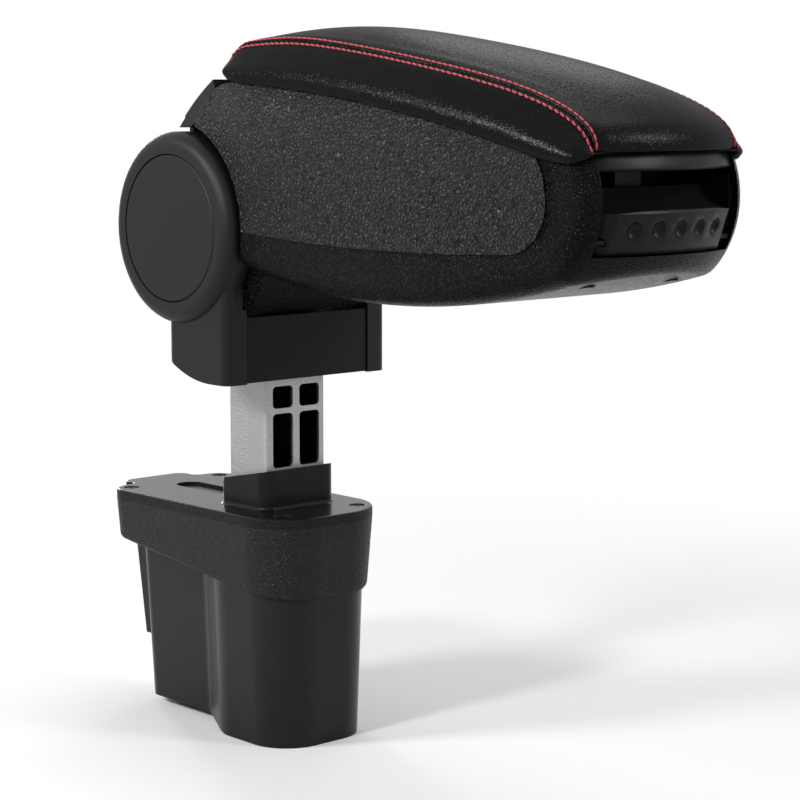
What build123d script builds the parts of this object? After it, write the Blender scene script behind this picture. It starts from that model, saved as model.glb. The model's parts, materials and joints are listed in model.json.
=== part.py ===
from build123d import *
import os
from math import cos, radians, sin, sqrt, tan

# Car centre armrest: a folding arm with a storage bin and a padded lid, on a cast post
# that plugs into a console insert.  Millimetres, +X to the front of the arm, +Z up,
# origin on the post's axis at the flat foot of the insert.

# Console insert
insert_height = 116.0  # flat foot to the top of the plate
insert_front = 47.0  # post axis to the front end of the plate
insert_rear = 94.0  # post axis to the rear end of the wide part
insert_half = 38.0  # half the width of the wide part
tongue_length = 13.0  # narrow rear end, beyond the wide part
tongue_half = 20.0
insert_wall = 2.5
front_corner = 29.0
rear_corner = 13.0
tongue_corner = 7.0
plate_thickness = 5.0
plate_edge = 1.2
skirt_front = 38.0  # depth of the textured skirt at the front end
skirt_rear = 20.0  # and at the rear end of the wide part
skirt_draft = 3.5  # how far the skirt draws in at its lowest
skirt_round = 3.0
cup_step = 4.0  # the cup is this much inside the skirt
cup_draft = 4.0  # how far the cup draws in at its foot
cup_waist_front = 8.0  # behind the post axis, where the wide cup ends
cup_waist_rear = 32.0  # and where the narrow cup begins
cup_narrow_half = 23.0
cup_lift = 4.5  # the narrow cup is this much shallower
tongue_depth = 76.0  # how far the tongue's wall reaches down
plate_screw_radius = 2.0
plate_screw_length = 16.0
screw_boss_radius = 5.0
tray_length = 46.0
tray_width = 15.0
tray_depth = 1.6

# Post and its socket
post_wide = 38.0  # across the car
post_thick = 30.0  # along the car
post_drop = 63.0  # below the foot of the hinge housing
post_corner = 2.5
post_fit = 0.35  # clearance in the socket, each side
post_lift = 64.0  # how far the post stands drawn out of the insert
seat_gap = 1.0  # left between housing and plate when the post is home
socket_wall = 3.5
socket_spare = 2.0  # below the seated post
collar_front = 20.0  # collar above the plate at its front edge
collar_rear = 12.5
window_wall = 4.2  # rims and the upright rib between the post's windows
window_rib = 2.6  # level ribs between the rows
window_rows = (11.5, 27.0, 11.0)  # heights of the rows, from the bottom
window_depth = 24.0

# Hinge
hinge_back = 13.5  # hinge axis behind the post axis
hinge_rise = 74.0  # hinge axis above the foot of the hinge housing
disc_radius = 46.5
disc_round = 7.0
cap_radius = 35.5
cap_thickness = 3.0
cap_gap = 0.4
hinge_half = 55.5  # hinge axis midplane to the face of a cap
cheek_half = 41.0  # to the inner face of a hinge shell
boot_half = 51.0
boot_front = 25.0
boot_rear = 22.0
boot_wall = 2.5
boot_corner = 5.0
boot_height = 36.0
boot_rake = 11.0  # the rear edge of the boot is this much higher
boot_rim = 12.5  # how far each shell wraps round the front of the boot
panel_drop = 4.0  # the front panel is this much lower than the shells
panel_gap = 0.8
bolt_radius = 5.0
bolt_head_radius = 9.0
bolt_head = 6.0
eye_radius = 18.0
eye_half = 33.0
washer_thickness = 2.0
bracket_thickness = 3.5
drum_radius = 43.5
drum_wall = 2.5

# Arm
arm_reach = 280.0  # hinge axis to the front of the arm
arm_half = 52.5  # half the width at the middle
arm_end_half = 50.0  # and at both ends
arm_wall = 3.0
arm_front_bow = 12.0  # the front bulges this much
arm_edge = 11.0  # round of the lower edge and the front corners
rear_radius = 51.0  # rear edge of the sides, about the hinge axis
rear_bulge = 5.4  # how far their edge above it bulges to the rear
skin_radius = 54.5  # underside where it wraps round the hinge
nose_crest = 21.0  # above the hinge axis, where the front stands furthest out
nose_round = 46.0  # radius of the front, seen from the side
nose_length = 65.0  # the front is rounded over this length
deck_start = 45.0  # top of the sides: rear end, ahead of the hinge axis
deck_rear = 70.0  # its height there, above the hinge axis
deck_front = 39.5  # and at the front
deck_bow = 5.8  # how far it arches above a straight line
keel_depth = 28.0  # underside below the hinge axis, at its lowest
nose_depth = 5.0  # and at the front
frame_split = 42.0  # half the width between the side frames
panel_proud = 0.7
panel_thickness = 2.2
panel_front = 27.6  # front edge of the side panel behind the front of the arm
panel_floor = 3.4  # its lower edge below the hinge axis
panel_rise = 3.8  # the ends of its lower edge are this much higher
panel_lean = 7.5  # the front edge leans back this much at its top
panel_corner = 22.0  # lower front corner
panel_shoulder = 25.0  # upper front corner
panel_drop_in = 0.4  # its upper edge below the deck
panel_seam = 0.25
cover_radius = 48.0
running_gap = 0.8

# Storage bin
bin_rear = 84.0  # ahead of the hinge axis
bin_front = 228.0
bin_wall = 2.0
bin_half = 44.0
bin_floor = 19.0  # below the hinge axis
bin_rise = 8.0  # the floor's front end is this much higher
bin_corner = 6.0
bin_drop = 2.0  # the bin's rim below the deck
boss_radius = 4.5
screw_radius = 1.6
screw_head = 3.2
screw_sink = 1.6

# Front catch
grip_half = 39.0
grip_floor = 0.5  # lower edge of the grip, below the hinge axis
grip_height = 18.5
grip_wall = 3.2
grip_depth = 24.0
grip_setback = 1.2
grip_lean = 7.0  # the front leans back this much at its foot
grip_break = 1.5  # of the front's top edge
grip_corner = 5.0  # cut off each end of the front
grip_body = 19.0  # depth of the hollow part under the scoop
scoop_rise = 8.5  # scoop's rear edge above the grip's top
scoop_front = 3.0  # flat lip ahead of the scoop
scoop_sag = 1.2
scoop_wall = 2.5
rim_gap = 4.0  # between the bin's rim and the catch housing
housing_depth = 44.0  # rear wall of the catch housing behind the arm's front
catch_pin_back = 14.0  # behind the arm's front
catch_pin_height = 5.0  # above the hinge axis
striker_back = 36.0  # catch tab of the lid, behind the arm's front
striker_width = 16.0
striker_low = 20.0  # its lower end above the hinge axis
knuckle_length = 10.0
dimple_height = 9.0  # above the hinge axis
dimple_pitch = 12.7
dimple_radius = 4.4
dimple_depth = 2.2
catch_pin_radius = 1.5
housing_wall = 1.8

# Lid
lid_gap = 1.0
pan_thickness = 3.0
pan_inset = 3.0
lid_pivot = 39.0  # lid hinge ahead of the hinge axis
knuckle_radius = 4.0
lid_pin_radius = 2.0
lid_bar_height = 7.0
lid_bar_depth = 9.0
bar_setback = 1.5  # front of the bar behind the nose
cushion_side = 17.5  # height of the seam above the deck
cushion_crown = 10.5  # crown above the seam
seam_half = 44.0
cushion_rear = 35.0
cushion_proud = 0.2  # of the arm's side and front
cushion_corner = 16.0
cushion_heel = 10.0  # upright part of the rear edge, above the deck
cushion_round = 16.0  # of the rear upper edge, which turns clear of the rear cover
cushion_turn = radians(64)  # how far that rounding runs

# Places that follow from the sizes
plate_foot = insert_height - plate_thickness
boot_foot = insert_height + seat_gap + post_lift
hinge_z = boot_foot + hinge_rise
hinge_x = -hinge_back
hinge_plane = Plane(origin=(hinge_x, 0, hinge_z), x_dir=(1, 0, 0), z_dir=(0, -1, 0))
far = 2 * (arm_reach + insert_height)  # longer than anything here

os.makedirs("parts", exist_ok=True)
pieces = []


def keep(part, name):
    """Label a finished piece and write it to its own file."""
    part.label = name
    export_step(part, f"parts/{name}.step")
    pieces.append(part)


# Console insert: outlines seen from above


def corners(outline, x, y):
    """The two corners of an outline at x, left and right."""
    return outline.vertices().filter_by(lambda v: abs(v.X - x) < 0.01 and abs(abs(v.Y) - y) < 0.01)


def plate_outline(grow=0.0):
    """Wide rounded plate with a narrow tongue at the rear, grown outwards by grow."""
    with BuildSketch(mode=Mode.PRIVATE) as outline:
        with Locations(((insert_front - insert_rear) / 2, 0)):
            Rectangle(insert_front + insert_rear, 2 * insert_half)
        with Locations((-insert_rear - tongue_length / 2, 0)):
            Rectangle(tongue_length, 2 * tongue_half)
        fillet(corners(outline, insert_front, insert_half), radius=front_corner)
        fillet(corners(outline, -insert_rear, insert_half), radius=rear_corner)
        fillet(corners(outline, -insert_rear, tongue_half), radius=tongue_corner / 2)
        fillet(corners(outline, -insert_rear - tongue_length, tongue_half), radius=tongue_corner)
        if grow:
            offset(amount=grow, kind=Kind.INTERSECTION)
    return outline.sketch


def cup_outline(inset=0.0):
    """Wide and narrow cup run together, with the sides drawn in by inset."""
    front, rear = insert_front - cup_step - inset, insert_rear - cup_step - inset
    wide, narrow = insert_half - cup_step - inset, cup_narrow_half - inset
    with BuildSketch(mode=Mode.PRIVATE) as outline:
        with BuildLine():
            Polyline(
                (front, -wide), (front, wide), (-cup_waist_front, wide), (-cup_waist_rear, narrow),
                (-rear, narrow), (-rear, -narrow), (-cup_waist_rear, -narrow), (-cup_waist_front, -wide),
                close=True,
            )
        make_face()
        fillet(corners(outline, front, wide), radius=front_corner - cup_step - inset)
        fillet(corners(outline, -cup_waist_front, wide), radius=front_corner)
        fillet(corners(outline, -cup_waist_rear, narrow), radius=rear_corner)
        fillet(corners(outline, -rear, narrow), radius=rear_corner - cup_step)
    return outline.sketch


def skirt_plane(rise=0.0):
    """Slanted plane along the lower edge of the skirt, facing up."""
    front = Vector(insert_front, 0, plate_foot - skirt_front + rise)
    rear = Vector(-insert_rear, 0, plate_foot - skirt_rear + rise)
    along = (front - rear).normalized()
    return Plane(origin=front, x_dir=along, z_dir=along.cross(Vector(0, 1, 0)))


skirt_reach = skirt_front + 6.0

# Insert housing: a thin moulded cup with a stepped-out skirt, open at the top
with BuildPart() as skirt_form:
    with BuildSketch(Plane.XY.offset(plate_foot)):
        add(plate_outline())
    with BuildSketch(Plane.XY.offset(plate_foot - skirt_reach)):
        add(plate_outline(-skirt_draft))
    loft()
    split(bisect_by=skirt_plane(), keep=Keep.TOP)
    fillet(skirt_form.faces().sort_by(Axis.Z)[0].edges(), radius=skirt_round)

with BuildPart() as skirt_hollow:
    with BuildSketch(Plane.XY.offset(plate_foot)):
        add(plate_outline(-insert_wall))
    with BuildSketch(Plane.XY.offset(plate_foot - skirt_reach)):
        add(plate_outline(-insert_wall - skirt_draft))
    loft()
    split(bisect_by=skirt_plane(insert_wall), keep=Keep.TOP)


def cup_form(inset, floor):
    """Closed form of the two cups; the narrow one is shallower."""
    with BuildPart(mode=Mode.PRIVATE) as form:
        with BuildSketch(Plane.XY.offset(plate_foot)):
            add(cup_outline(inset))
        with BuildSketch(Plane.XY.offset(floor)):
            add(cup_outline(inset + cup_draft * (plate_foot - floor) / plate_foot))
        loft()
        with BuildSketch(Plane.XZ):
            with BuildLine():
                Polyline(
                    (-far, floor), (-cup_waist_front, floor), (-cup_waist_rear, floor + cup_lift),
                    (-far, floor + cup_lift), close=True,
                )
            make_face()
        extrude(amount=insert_half, both=True, mode=Mode.SUBTRACT)
    return form.part


def tongue_form(inset):
    """Narrow rear wall under the plate's tongue, which it steps in from as the cup does."""
    top_long = tongue_length + rear_corner - cup_step
    with BuildPart(mode=Mode.PRIVATE) as form:
        with BuildSketch(Plane.XY.offset(plate_foot)):
            with Locations((-insert_rear + rear_corner - top_long / 2, 0)):
                Rectangle(top_long - 2 * inset, 2 * (tongue_half - cup_step - inset))
        with BuildSketch(Plane.XY.offset(plate_foot - tongue_depth + inset)):
            with Locations((-insert_rear + rear_corner / 2, 0)):
                Rectangle(rear_corner - 2 * inset, 2 * (tongue_half - cup_step - inset) - cup_draft)
        loft()
    return form.part


screw_spots = [
    (insert_front - front_corner + (front_corner - insert_wall - screw_boss_radius) * sqrt(0.5),
     insert_half - front_corner + (front_corner - insert_wall - screw_boss_radius) * sqrt(0.5)),
    (-insert_rear + rear_corner - (rear_corner - insert_wall - screw_boss_radius) * sqrt(0.5),
     insert_half - rear_corner + (rear_corner - insert_wall - screw_boss_radius) * sqrt(0.5)),
]
screw_spots += [(x, -y) for x, y in screw_spots]

with BuildPart() as housing_hollow:
    add(skirt_hollow.part)
    add(cup_form(insert_wall, insert_wall))
    add(tongue_form(insert_wall))
with BuildPart() as insert_housing:
    add(skirt_form.part)
    add(cup_form(0.0, 0.0))
    add(tongue_form(0.0))
    add(housing_hollow.part, mode=Mode.SUBTRACT)
    with BuildSketch(Plane.XY.offset(plate_foot)):
        with Locations(*screw_spots):
            Circle(screw_boss_radius + 0.6)
    extrude(amount=-plate_screw_length - 2)
    with BuildSketch(Plane.XY.offset(plate_foot)):
        with Locations(*screw_spots):
            Circle(plate_screw_radius)
    extrude(amount=-plate_screw_length, mode=Mode.SUBTRACT)
keep(insert_housing.part, "insert_housing")

# Collar round the post, higher at the front
socket_long = post_thick + 2 * post_fit
socket_wide = post_wide + 2 * post_fit
socket_corner = post_corner + post_fit
collar_long = socket_long + 2 * socket_wall
collar_wide = socket_wide + 2 * socket_wall
collar_slope = Vector(collar_long, 0, collar_front - collar_rear).normalized()
collar_top = Plane(
    origin=(0, 0, insert_height + (collar_front + collar_rear) / 2),
    x_dir=collar_slope,
    z_dir=collar_slope.cross(Vector(0, 1, 0)),
)
socket_floor = insert_height + seat_gap - post_drop - socket_spare

with BuildPart() as collar:
    with BuildSketch(Plane.XY.offset(socket_floor - socket_wall)):
        RectangleRounded(collar_long, collar_wide, socket_corner + socket_wall)
    extrude(amount=insert_height + 2 * collar_front - socket_floor)
    split(bisect_by=collar_top, keep=Keep.BOTTOM)

# Top plate: screwed down on the housing, with the collar and the socket in one moulding
with BuildPart() as top_plate:
    with BuildSketch(Plane.XY.offset(plate_foot)):
        add(plate_outline())
    extrude(amount=plate_thickness)
    fillet(top_plate.faces().sort_by(Axis.Z)[-1].edges(), radius=plate_edge)
    add(collar.part)
    foot_edges = top_plate.edges().filter_by(lambda e: abs(e.center().Z - insert_height) < 0.01)
    fillet(foot_edges.filter_by(lambda e: abs(e.center().X) < collar_long), radius=2.0)
    with BuildSketch(Plane.XY.offset(socket_floor)):
        RectangleRounded(socket_long, socket_wide, socket_corner)
    extrude(amount=far, mode=Mode.SUBTRACT)
    with BuildSketch(Plane.XY.offset(insert_height)):
        with Locations((-(insert_rear + collar_long / 2) / 2, 0)):
            SlotOverall(tray_length, tray_width)
    extrude(amount=-tray_depth, mode=Mode.SUBTRACT)
    with Locations(Plane.XY.offset(insert_height)):
        with Locations(*screw_spots):
            CounterSinkHole(plate_screw_radius + 0.2, 2 * plate_screw_radius + 0.3, depth=2 * plate_thickness)
keep(top_plate.part, "top_plate")

# Plate screws: countersunk, just below the plate's surface
with BuildPart() as plate_screws:
    with Locations(*[(x, y, plate_foot - plate_screw_length) for x, y in screw_spots]):
        Cylinder(
            plate_screw_radius, plate_screw_length + plate_thickness - 0.6,
            align=(Align.CENTER, Align.CENTER, Align.MIN),
        )
    with Locations(*[(x, y, insert_height - 0.6) for x, y in screw_spots]):
        Cone(
            plate_screw_radius, 2 * plate_screw_radius - 0.3, plate_screw_radius,
            align=(Align.CENTER, Align.CENTER, Align.MAX),
        )
    with Locations(*[(x, y, insert_height - 0.6) for x, y in screw_spots]):
        Box(2.6, 0.7, 1.2, mode=Mode.SUBTRACT)
        Box(0.7, 2.6, 1.2, mode=Mode.SUBTRACT)
keep(plate_screws.part, "plate_screws")

# Post: a cast bar with two columns of windows in its front, and the hinge eye on top
post_tip = boot_foot - post_drop
window_wide = (post_wide - 3 * window_wall) / 2
window_bottom = [
    post_tip + window_wall + sum(window_rows[:row]) + row * window_rib for row in range(len(window_rows))
]
with BuildPart() as post_casting:
    with BuildSketch(Plane.XY.offset(post_tip)):
        RectangleRounded(post_thick, post_wide, post_corner)
    extrude(amount=hinge_z - post_tip)
    chamfer(post_casting.faces().sort_by(Axis.Z)[0].edges(), length=1.5)
    for bottom, height in zip(window_bottom, window_rows):
        window_plane = Plane(
            origin=(post_thick / 2, 0, bottom + height / 2), x_dir=(0, 1, 0), z_dir=(1, 0, 0)
        )
        with BuildSketch(window_plane):
            with GridLocations(window_wide + window_wall, 0, 2, 1):
                RectangleRounded(window_wide, height, 2.2)
        extrude(amount=-window_depth, mode=Mode.SUBTRACT)
    with BuildSketch(hinge_plane):
        Circle(eye_radius)
    extrude(amount=eye_half, both=True)
    with BuildSketch(hinge_plane):
        Circle(bolt_radius + 0.15)
    extrude(amount=far, both=True, mode=Mode.SUBTRACT)
keep(post_casting.part, "post_casting")

# Hinge shell: disc, neck and boot side in one moulding.  The right one is drawn, the left mirrored
shell_seat = hinge_half - cap_thickness - bolt_head  # where the bolt's head bears
boss_face = eye_half + washer_thickness + bracket_thickness + 0.6
boot_long = boot_front + boot_rear


def boot_outline(inset=0.0):
    """Boot seen from above."""
    with BuildSketch(Plane.XY.offset(boot_foot), mode=Mode.PRIVATE) as outline:
        with Locations(((boot_front - boot_rear) / 2, 0)):
            RectangleRounded(boot_long - 2 * inset, 2 * (boot_half - inset), boot_corner - inset)
    return outline.sketch


def boot_ring(height, inside):
    """Right-hand part of the boot's wall, beyond inside from the middle."""
    with BuildPart(mode=Mode.PRIVATE) as ring:
        add(boot_outline())
        extrude(amount=height)
        add(boot_outline(boot_wall))
        extrude(amount=height, mode=Mode.SUBTRACT)
        with Locations((0, -inside, boot_foot)):
            Box(far, far, far, align=(Align.CENTER, Align.MAX, Align.CENTER), mode=Mode.INTERSECT)
    return ring.part


with BuildPart() as right_shell:
    with BuildSketch(hinge_plane.offset(cheek_half)):
        Circle(disc_radius)
    extrude(amount=hinge_half - cheek_half)
    fillet(right_shell.faces().sort_by(Axis.Y)[0].edges(), radius=disc_round)
    add(boot_ring(boot_height, boot_half - boot_rim))
    add(boot_ring(hinge_rise, cheek_half))
    with BuildSketch(hinge_plane.offset(cheek_half)):
        Circle(disc_radius - 3)
        Circle(eye_radius - 3, mode=Mode.SUBTRACT)
    extrude(amount=hinge_half - cap_thickness - 3 - cheek_half, mode=Mode.SUBTRACT)
    with BuildSketch(hinge_plane.offset(boss_face)):
        Circle(eye_radius - 3)
    extrude(amount=cheek_half - boss_face)
    with BuildSketch(hinge_plane.offset(hinge_half)):
        Circle(cap_radius + cap_gap)
    extrude(amount=-cap_thickness, mode=Mode.SUBTRACT)
    with BuildSketch(hinge_plane.offset(hinge_half)):
        Circle(bolt_head_radius + 1)
    extrude(amount=-cap_thickness - bolt_head, mode=Mode.SUBTRACT)
    with BuildSketch(hinge_plane):
        Circle(bolt_radius + 0.15)
    extrude(amount=far, mode=Mode.SUBTRACT)
    with BuildSketch(Plane.XZ):
        with BuildLine():
            TangentArc(
                (boot_front / 2, boot_foot), (-boot_rear - 1, boot_foot + boot_rake), tangent=(-1, 0)
            )
            Polyline(
                (-boot_rear - 1, boot_foot + boot_rake), (-boot_rear - 1, boot_foot - 5),
                (boot_front / 2, boot_foot - 5), (boot_front / 2, boot_foot),
            )
        make_face()
    extrude(amount=far, mode=Mode.SUBTRACT)
with BuildPart() as left_shell:
    mirror(right_shell.part, about=Plane.XZ)
keep(right_shell.part, "right_hinge_shell")
keep(left_shell.part, "left_hinge_shell")

# Hinge caps: round covers over the bolt's ends
with BuildPart() as right_cap:
    with BuildSketch(hinge_plane.offset(hinge_half - cap_thickness)):
        Circle(cap_radius)
    extrude(amount=cap_thickness)
    fillet(right_cap.faces().sort_by(Axis.Y)[0].edges(), radius=1.0)
with BuildPart() as left_cap:
    mirror(right_cap.part, about=Plane.XZ)
keep(right_cap.part, "right_hinge_cap")
keep(left_cap.part, "left_hinge_cap")

# Boot panels: between the shells, each with tongues behind the shells' rims
drum_clear = skin_radius + running_gap
panel_half = boot_half - boot_rim - panel_gap
with BuildPart() as boot_front_panel:
    with Locations((boot_front - 0.8, 0, boot_foot + 0.5)):
        Box(3.4, 2 * panel_half, boot_height - panel_drop - 0.5, align=(Align.MAX, Align.CENTER, Align.MIN))
    with Locations((boot_front - boot_wall, 0, boot_foot + 0.5)):
        Box(1.7, 2 * (panel_half + 6), boot_height - panel_drop - 0.5, align=(Align.MAX, Align.CENTER, Align.MIN))
    with BuildSketch(hinge_plane):
        Circle(drum_clear)
    extrude(amount=far, both=True, mode=Mode.SUBTRACT)
keep(boot_front_panel.part, "boot_front_panel")

rear_panel_foot = boot_foot + max(boot_rake, collar_rear - seat_gap) + running_gap
rear_panel_height = hinge_z - disc_radius - running_gap - rear_panel_foot
with BuildPart() as boot_rear_panel:
    with Locations((-boot_rear + 0.8, 0, rear_panel_foot)):
        Box(3.4, 2 * panel_half, rear_panel_height, align=(Align.MIN, Align.CENTER, Align.MIN))
    with Locations((-boot_rear + boot_wall, 0, rear_panel_foot)):
        Box(1.7, 2 * (panel_half + 6), rear_panel_height, align=(Align.MIN, Align.CENTER, Align.MIN))
keep(boot_rear_panel.part, "boot_rear_panel")

# Core drum: two cups slid on the eye from either side, which close the hinge between the shells
drum_half = eye_half - 0.5
with BuildPart() as right_drum:
    with BuildSketch(hinge_plane):
        Circle(drum_radius)
        Circle(drum_radius - drum_wall, mode=Mode.SUBTRACT)
    extrude(amount=drum_half)
    with BuildSketch(hinge_plane.offset(drum_half - drum_wall)):
        Circle(drum_radius)
        Circle(eye_radius, mode=Mode.SUBTRACT)
    extrude(amount=drum_wall)
    with Locations((0, 0, hinge_z)):
        Box(
            post_thick + 1.0, post_wide + 1.0, far,
            align=(Align.CENTER, Align.CENTER, Align.MAX), mode=Mode.SUBTRACT,
        )
with BuildPart() as left_drum:
    mirror(right_drum.part, about=Plane.XZ)
keep(right_drum.part, "right_core_drum")
keep(left_drum.part, "left_core_drum")

# Hinge bolt and nut
with BuildPart() as hinge_bolt:
    with BuildSketch(hinge_plane.offset(-shell_seat - bolt_head + 0.5)):
        Circle(bolt_radius)
    extrude(amount=2 * shell_seat + bolt_head - 0.5)
    with BuildSketch(hinge_plane.offset(shell_seat)):
        RegularPolygon(bolt_head_radius, 6)
    extrude(amount=bolt_head - 1)
keep(hinge_bolt.part, "hinge_bolt")
with BuildPart() as hinge_nut:
    with BuildSketch(hinge_plane.offset(-shell_seat)):
        RegularPolygon(bolt_head_radius, 6)
        Circle(bolt_radius, mode=Mode.SUBTRACT)
    extrude(amount=-bolt_head + 1)
keep(hinge_nut.part, "hinge_nut")

# Friction washers: one each side of the eye
with BuildPart() as friction_washers:
    for side in (-1, 1):
        with BuildSketch(hinge_plane.offset(side * eye_half)):
            Circle(eye_radius - 2)
            Circle(bolt_radius + 0.15, mode=Mode.SUBTRACT)
        extrude(amount=side * washer_thickness)
keep(friction_washers.part, "friction_washers")

# Arm: the outer form is the side profile carried across, cut to the outline seen from above


def deck_z(x):
    """Height of the sides' top edge above the hinge axis, x ahead of it."""
    front = arm_reach - 8
    middle, span = (front + deck_start) / 2, (front - deck_start) / 2
    straight = deck_rear + (deck_front - deck_rear) * (x - deck_start) / (2 * span)
    return straight + deck_bow * (1 - ((x - middle) / span) ** 2)


def deck_arc(start, end, rise):
    """Arc along the deck between two places, lifted by rise."""
    middle = (start + end) / 2
    return ThreePointArc(
        (start, deck_z(start) + rise), (middle, deck_z(middle) + rise), (end, deck_z(end) + rise)
    )


def on_circle(radius, degrees):
    """Point at an angle about the hinge axis."""
    return (radius * cos(radians(degrees)), radius * sin(radians(degrees)))


def rear_edge(top, foot):
    """Bulging edge of the sides, down from the deck's rear end."""
    middle = (Vector(*top) + Vector(*foot)) / 2
    across = (Vector(*foot) - Vector(*top)).normalized()
    return ThreePointArc(top, (middle.X + across.Y * rear_bulge, middle.Y - across.X * rear_bulge), foot)


rear_top, rear_bottom = 72.0, -20.0  # ends of the sides' rear edge, in degrees
keel_rear = on_circle(rear_radius, rear_bottom)
nose_slope = 0.33
beyond = 8.0  # the profile runs past the front, which the outline cuts


def keel_z(x):
    """Height of the underside along the middle, below the hinge axis."""
    end = arm_reach + beyond
    x1, z1 = on_circle(rear_radius, rear_bottom)[0], keel_rear[1]
    x2, z2 = 150 / 280 * arm_reach, -keel_depth
    x3, z3 = end, -nose_depth + nose_slope * beyond
    d = 2 * (x1 * (z2 - z3) + x2 * (z3 - z1) + x3 * (z1 - z2))
    q1, q2, q3 = x1**2 + z1**2, x2**2 + z2**2, x3**2 + z3**2
    cx = (q1 * (z2 - z3) + q2 * (z3 - z1) + q3 * (z1 - z2)) / d
    cz = (q1 * (x3 - x2) + q2 * (x1 - x3) + q3 * (x2 - x1)) / d
    return cz - sqrt((x1 - cx) ** 2 + (z1 - cz) ** 2 - (x - cx) ** 2)


bow_radius = (arm_end_half**2 + arm_front_bow**2) / (2 * arm_front_bow)
side_span = (arm_reach - arm_front_bow) / 2
side_sag = arm_half - arm_end_half
side_radius = (side_span**2 + side_sag**2) / (2 * side_sag)


def side_half(x):
    """Half the width of the arm, x ahead of the hinge axis."""
    return arm_half - side_radius + sqrt(side_radius**2 - (x - side_span) ** 2)


def arm_outline(grow=0.0):
    """Arm seen from above."""
    rear, front = hinge_x, hinge_x + arm_reach - arm_front_bow
    middle = (rear + front) / 2
    with BuildSketch(mode=Mode.PRIVATE) as outline:
        with BuildLine():
            ThreePointArc((front, -arm_end_half), (hinge_x + arm_reach, 0), (front, arm_end_half))
            ThreePointArc((front, arm_end_half), (middle, arm_half), (rear, arm_end_half))
            Line((rear, arm_end_half), (rear, -arm_end_half))
            ThreePointArc((rear, -arm_end_half), (middle, -arm_half), (front, -arm_end_half))
        make_face()
        fillet(outline.vertices().group_by(Axis.X)[-1], radius=arm_edge)
        if grow:
            offset(amount=grow, kind=Kind.INTERSECTION)
    return outline.sketch


def arm_column(grow=0.0):
    """Upright column of the arm's outline, through the whole height."""
    with BuildPart(mode=Mode.PRIVATE) as column:
        with BuildSketch(Plane.XY.offset(boot_foot)):
            add(arm_outline(grow))
        extrude(amount=far)
    return column.part


def arm_sides():
    """Column between the arm's two sides, which runs past the front."""
    end = arm_reach + beyond
    rear_y, middle_y, end_y = (side_half(x) for x in (0, side_span, end))
    with BuildPart(mode=Mode.PRIVATE) as column:
        with BuildSketch(Plane.XY.offset(boot_foot)):
            with BuildLine():
                ThreePointArc((hinge_x, -rear_y), (hinge_x + side_span, -middle_y), (hinge_x + end, -end_y))
                Line((hinge_x + end, -end_y), (hinge_x + end, end_y))
                ThreePointArc((hinge_x + end, end_y), (hinge_x + side_span, middle_y), (hinge_x, rear_y))
                Line((hinge_x, rear_y), (hinge_x, -rear_y))
            make_face()
        extrude(amount=far)
    return column.part


bow_plane = Plane(
    origin=(hinge_x + arm_reach - bow_radius, 0, hinge_z), x_dir=(1, 0, 0), z_dir=(0, -1, 0)
)
bow_axis = Axis(bow_plane.origin, (0, 0, 1))


def nose_form(inset=0.0):
    """Barrel that rounds the front both ways, with a block behind it for the rest of the arm."""
    round_x = bow_radius - nose_round
    out, high = ((nose_round - inset) * turn(radians(78)) for turn in (cos, sin))
    with BuildPart(mode=Mode.PRIVATE) as form:
        with BuildSketch(bow_plane):
            with BuildLine():
                low_end, high_end = (round_x + out, nose_crest - high), (round_x + out, nose_crest + high)
                ThreePointArc(low_end, (bow_radius - inset, nose_crest), high_end)
                Polyline(high_end, (0, nose_crest + high), (0, nose_crest - high), low_end)
            make_face()
        revolve(axis=bow_axis)
        with Locations((hinge_x + arm_reach - nose_length, 0, hinge_z)):
            Box(far, far, far, align=(Align.MAX, Align.CENTER, Align.CENTER))
    return form.part


def front_ring(points):
    """Form that follows the bow of the front; points are behind the front and above the hinge axis."""
    with BuildPart(mode=Mode.PRIVATE) as ring:
        with BuildSketch(bow_plane):
            with BuildLine():
                Polyline(*[(bow_radius - back, height) for back, height in points], close=True)
            make_face()
        revolve(axis=bow_axis)
        with Locations((hinge_x + arm_reach - nose_length, 0, hinge_z)):
            Box(far, far, far, align=(Align.MIN, Align.CENTER, Align.CENTER), mode=Mode.INTERSECT)
    return ring.part


def arm_profile(inset=0.0, lift=0.0):
    """Arm seen from the side, drawn in by inset; lift opens the top of a hollow."""
    radius = rear_radius + inset
    start, low = on_circle(radius, rear_top), on_circle(radius, rear_bottom)
    low = (low[0], keel_rear[1] + inset)
    end = arm_reach + beyond
    with BuildSketch(hinge_plane, mode=Mode.PRIVATE) as profile:
        with BuildLine():
            rear_edge((deck_start, deck_rear + lift), start)
            ThreePointArc(start, (radius, 0), low)
            ThreePointArc(
                low, (150 / 280 * arm_reach, -keel_depth + inset),
                (end, -nose_depth + nose_slope * beyond + inset),
            )
            Line((end, -nose_depth + nose_slope * beyond + inset), (end, deck_z(end) + lift))
            deck_arc(deck_start, end, lift)
        make_face()
    return profile.sketch


def low_edges(form):
    """Lower edge of a form of the arm, ahead of the hinge."""
    lower = form.faces().filter_by(lambda f: f.normal_at().Z < -0.8 and f.area > 5000)[0]
    return lower.edges().filter_by(lambda e: e.center().X > hinge_x + skin_radius + 8)


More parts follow.
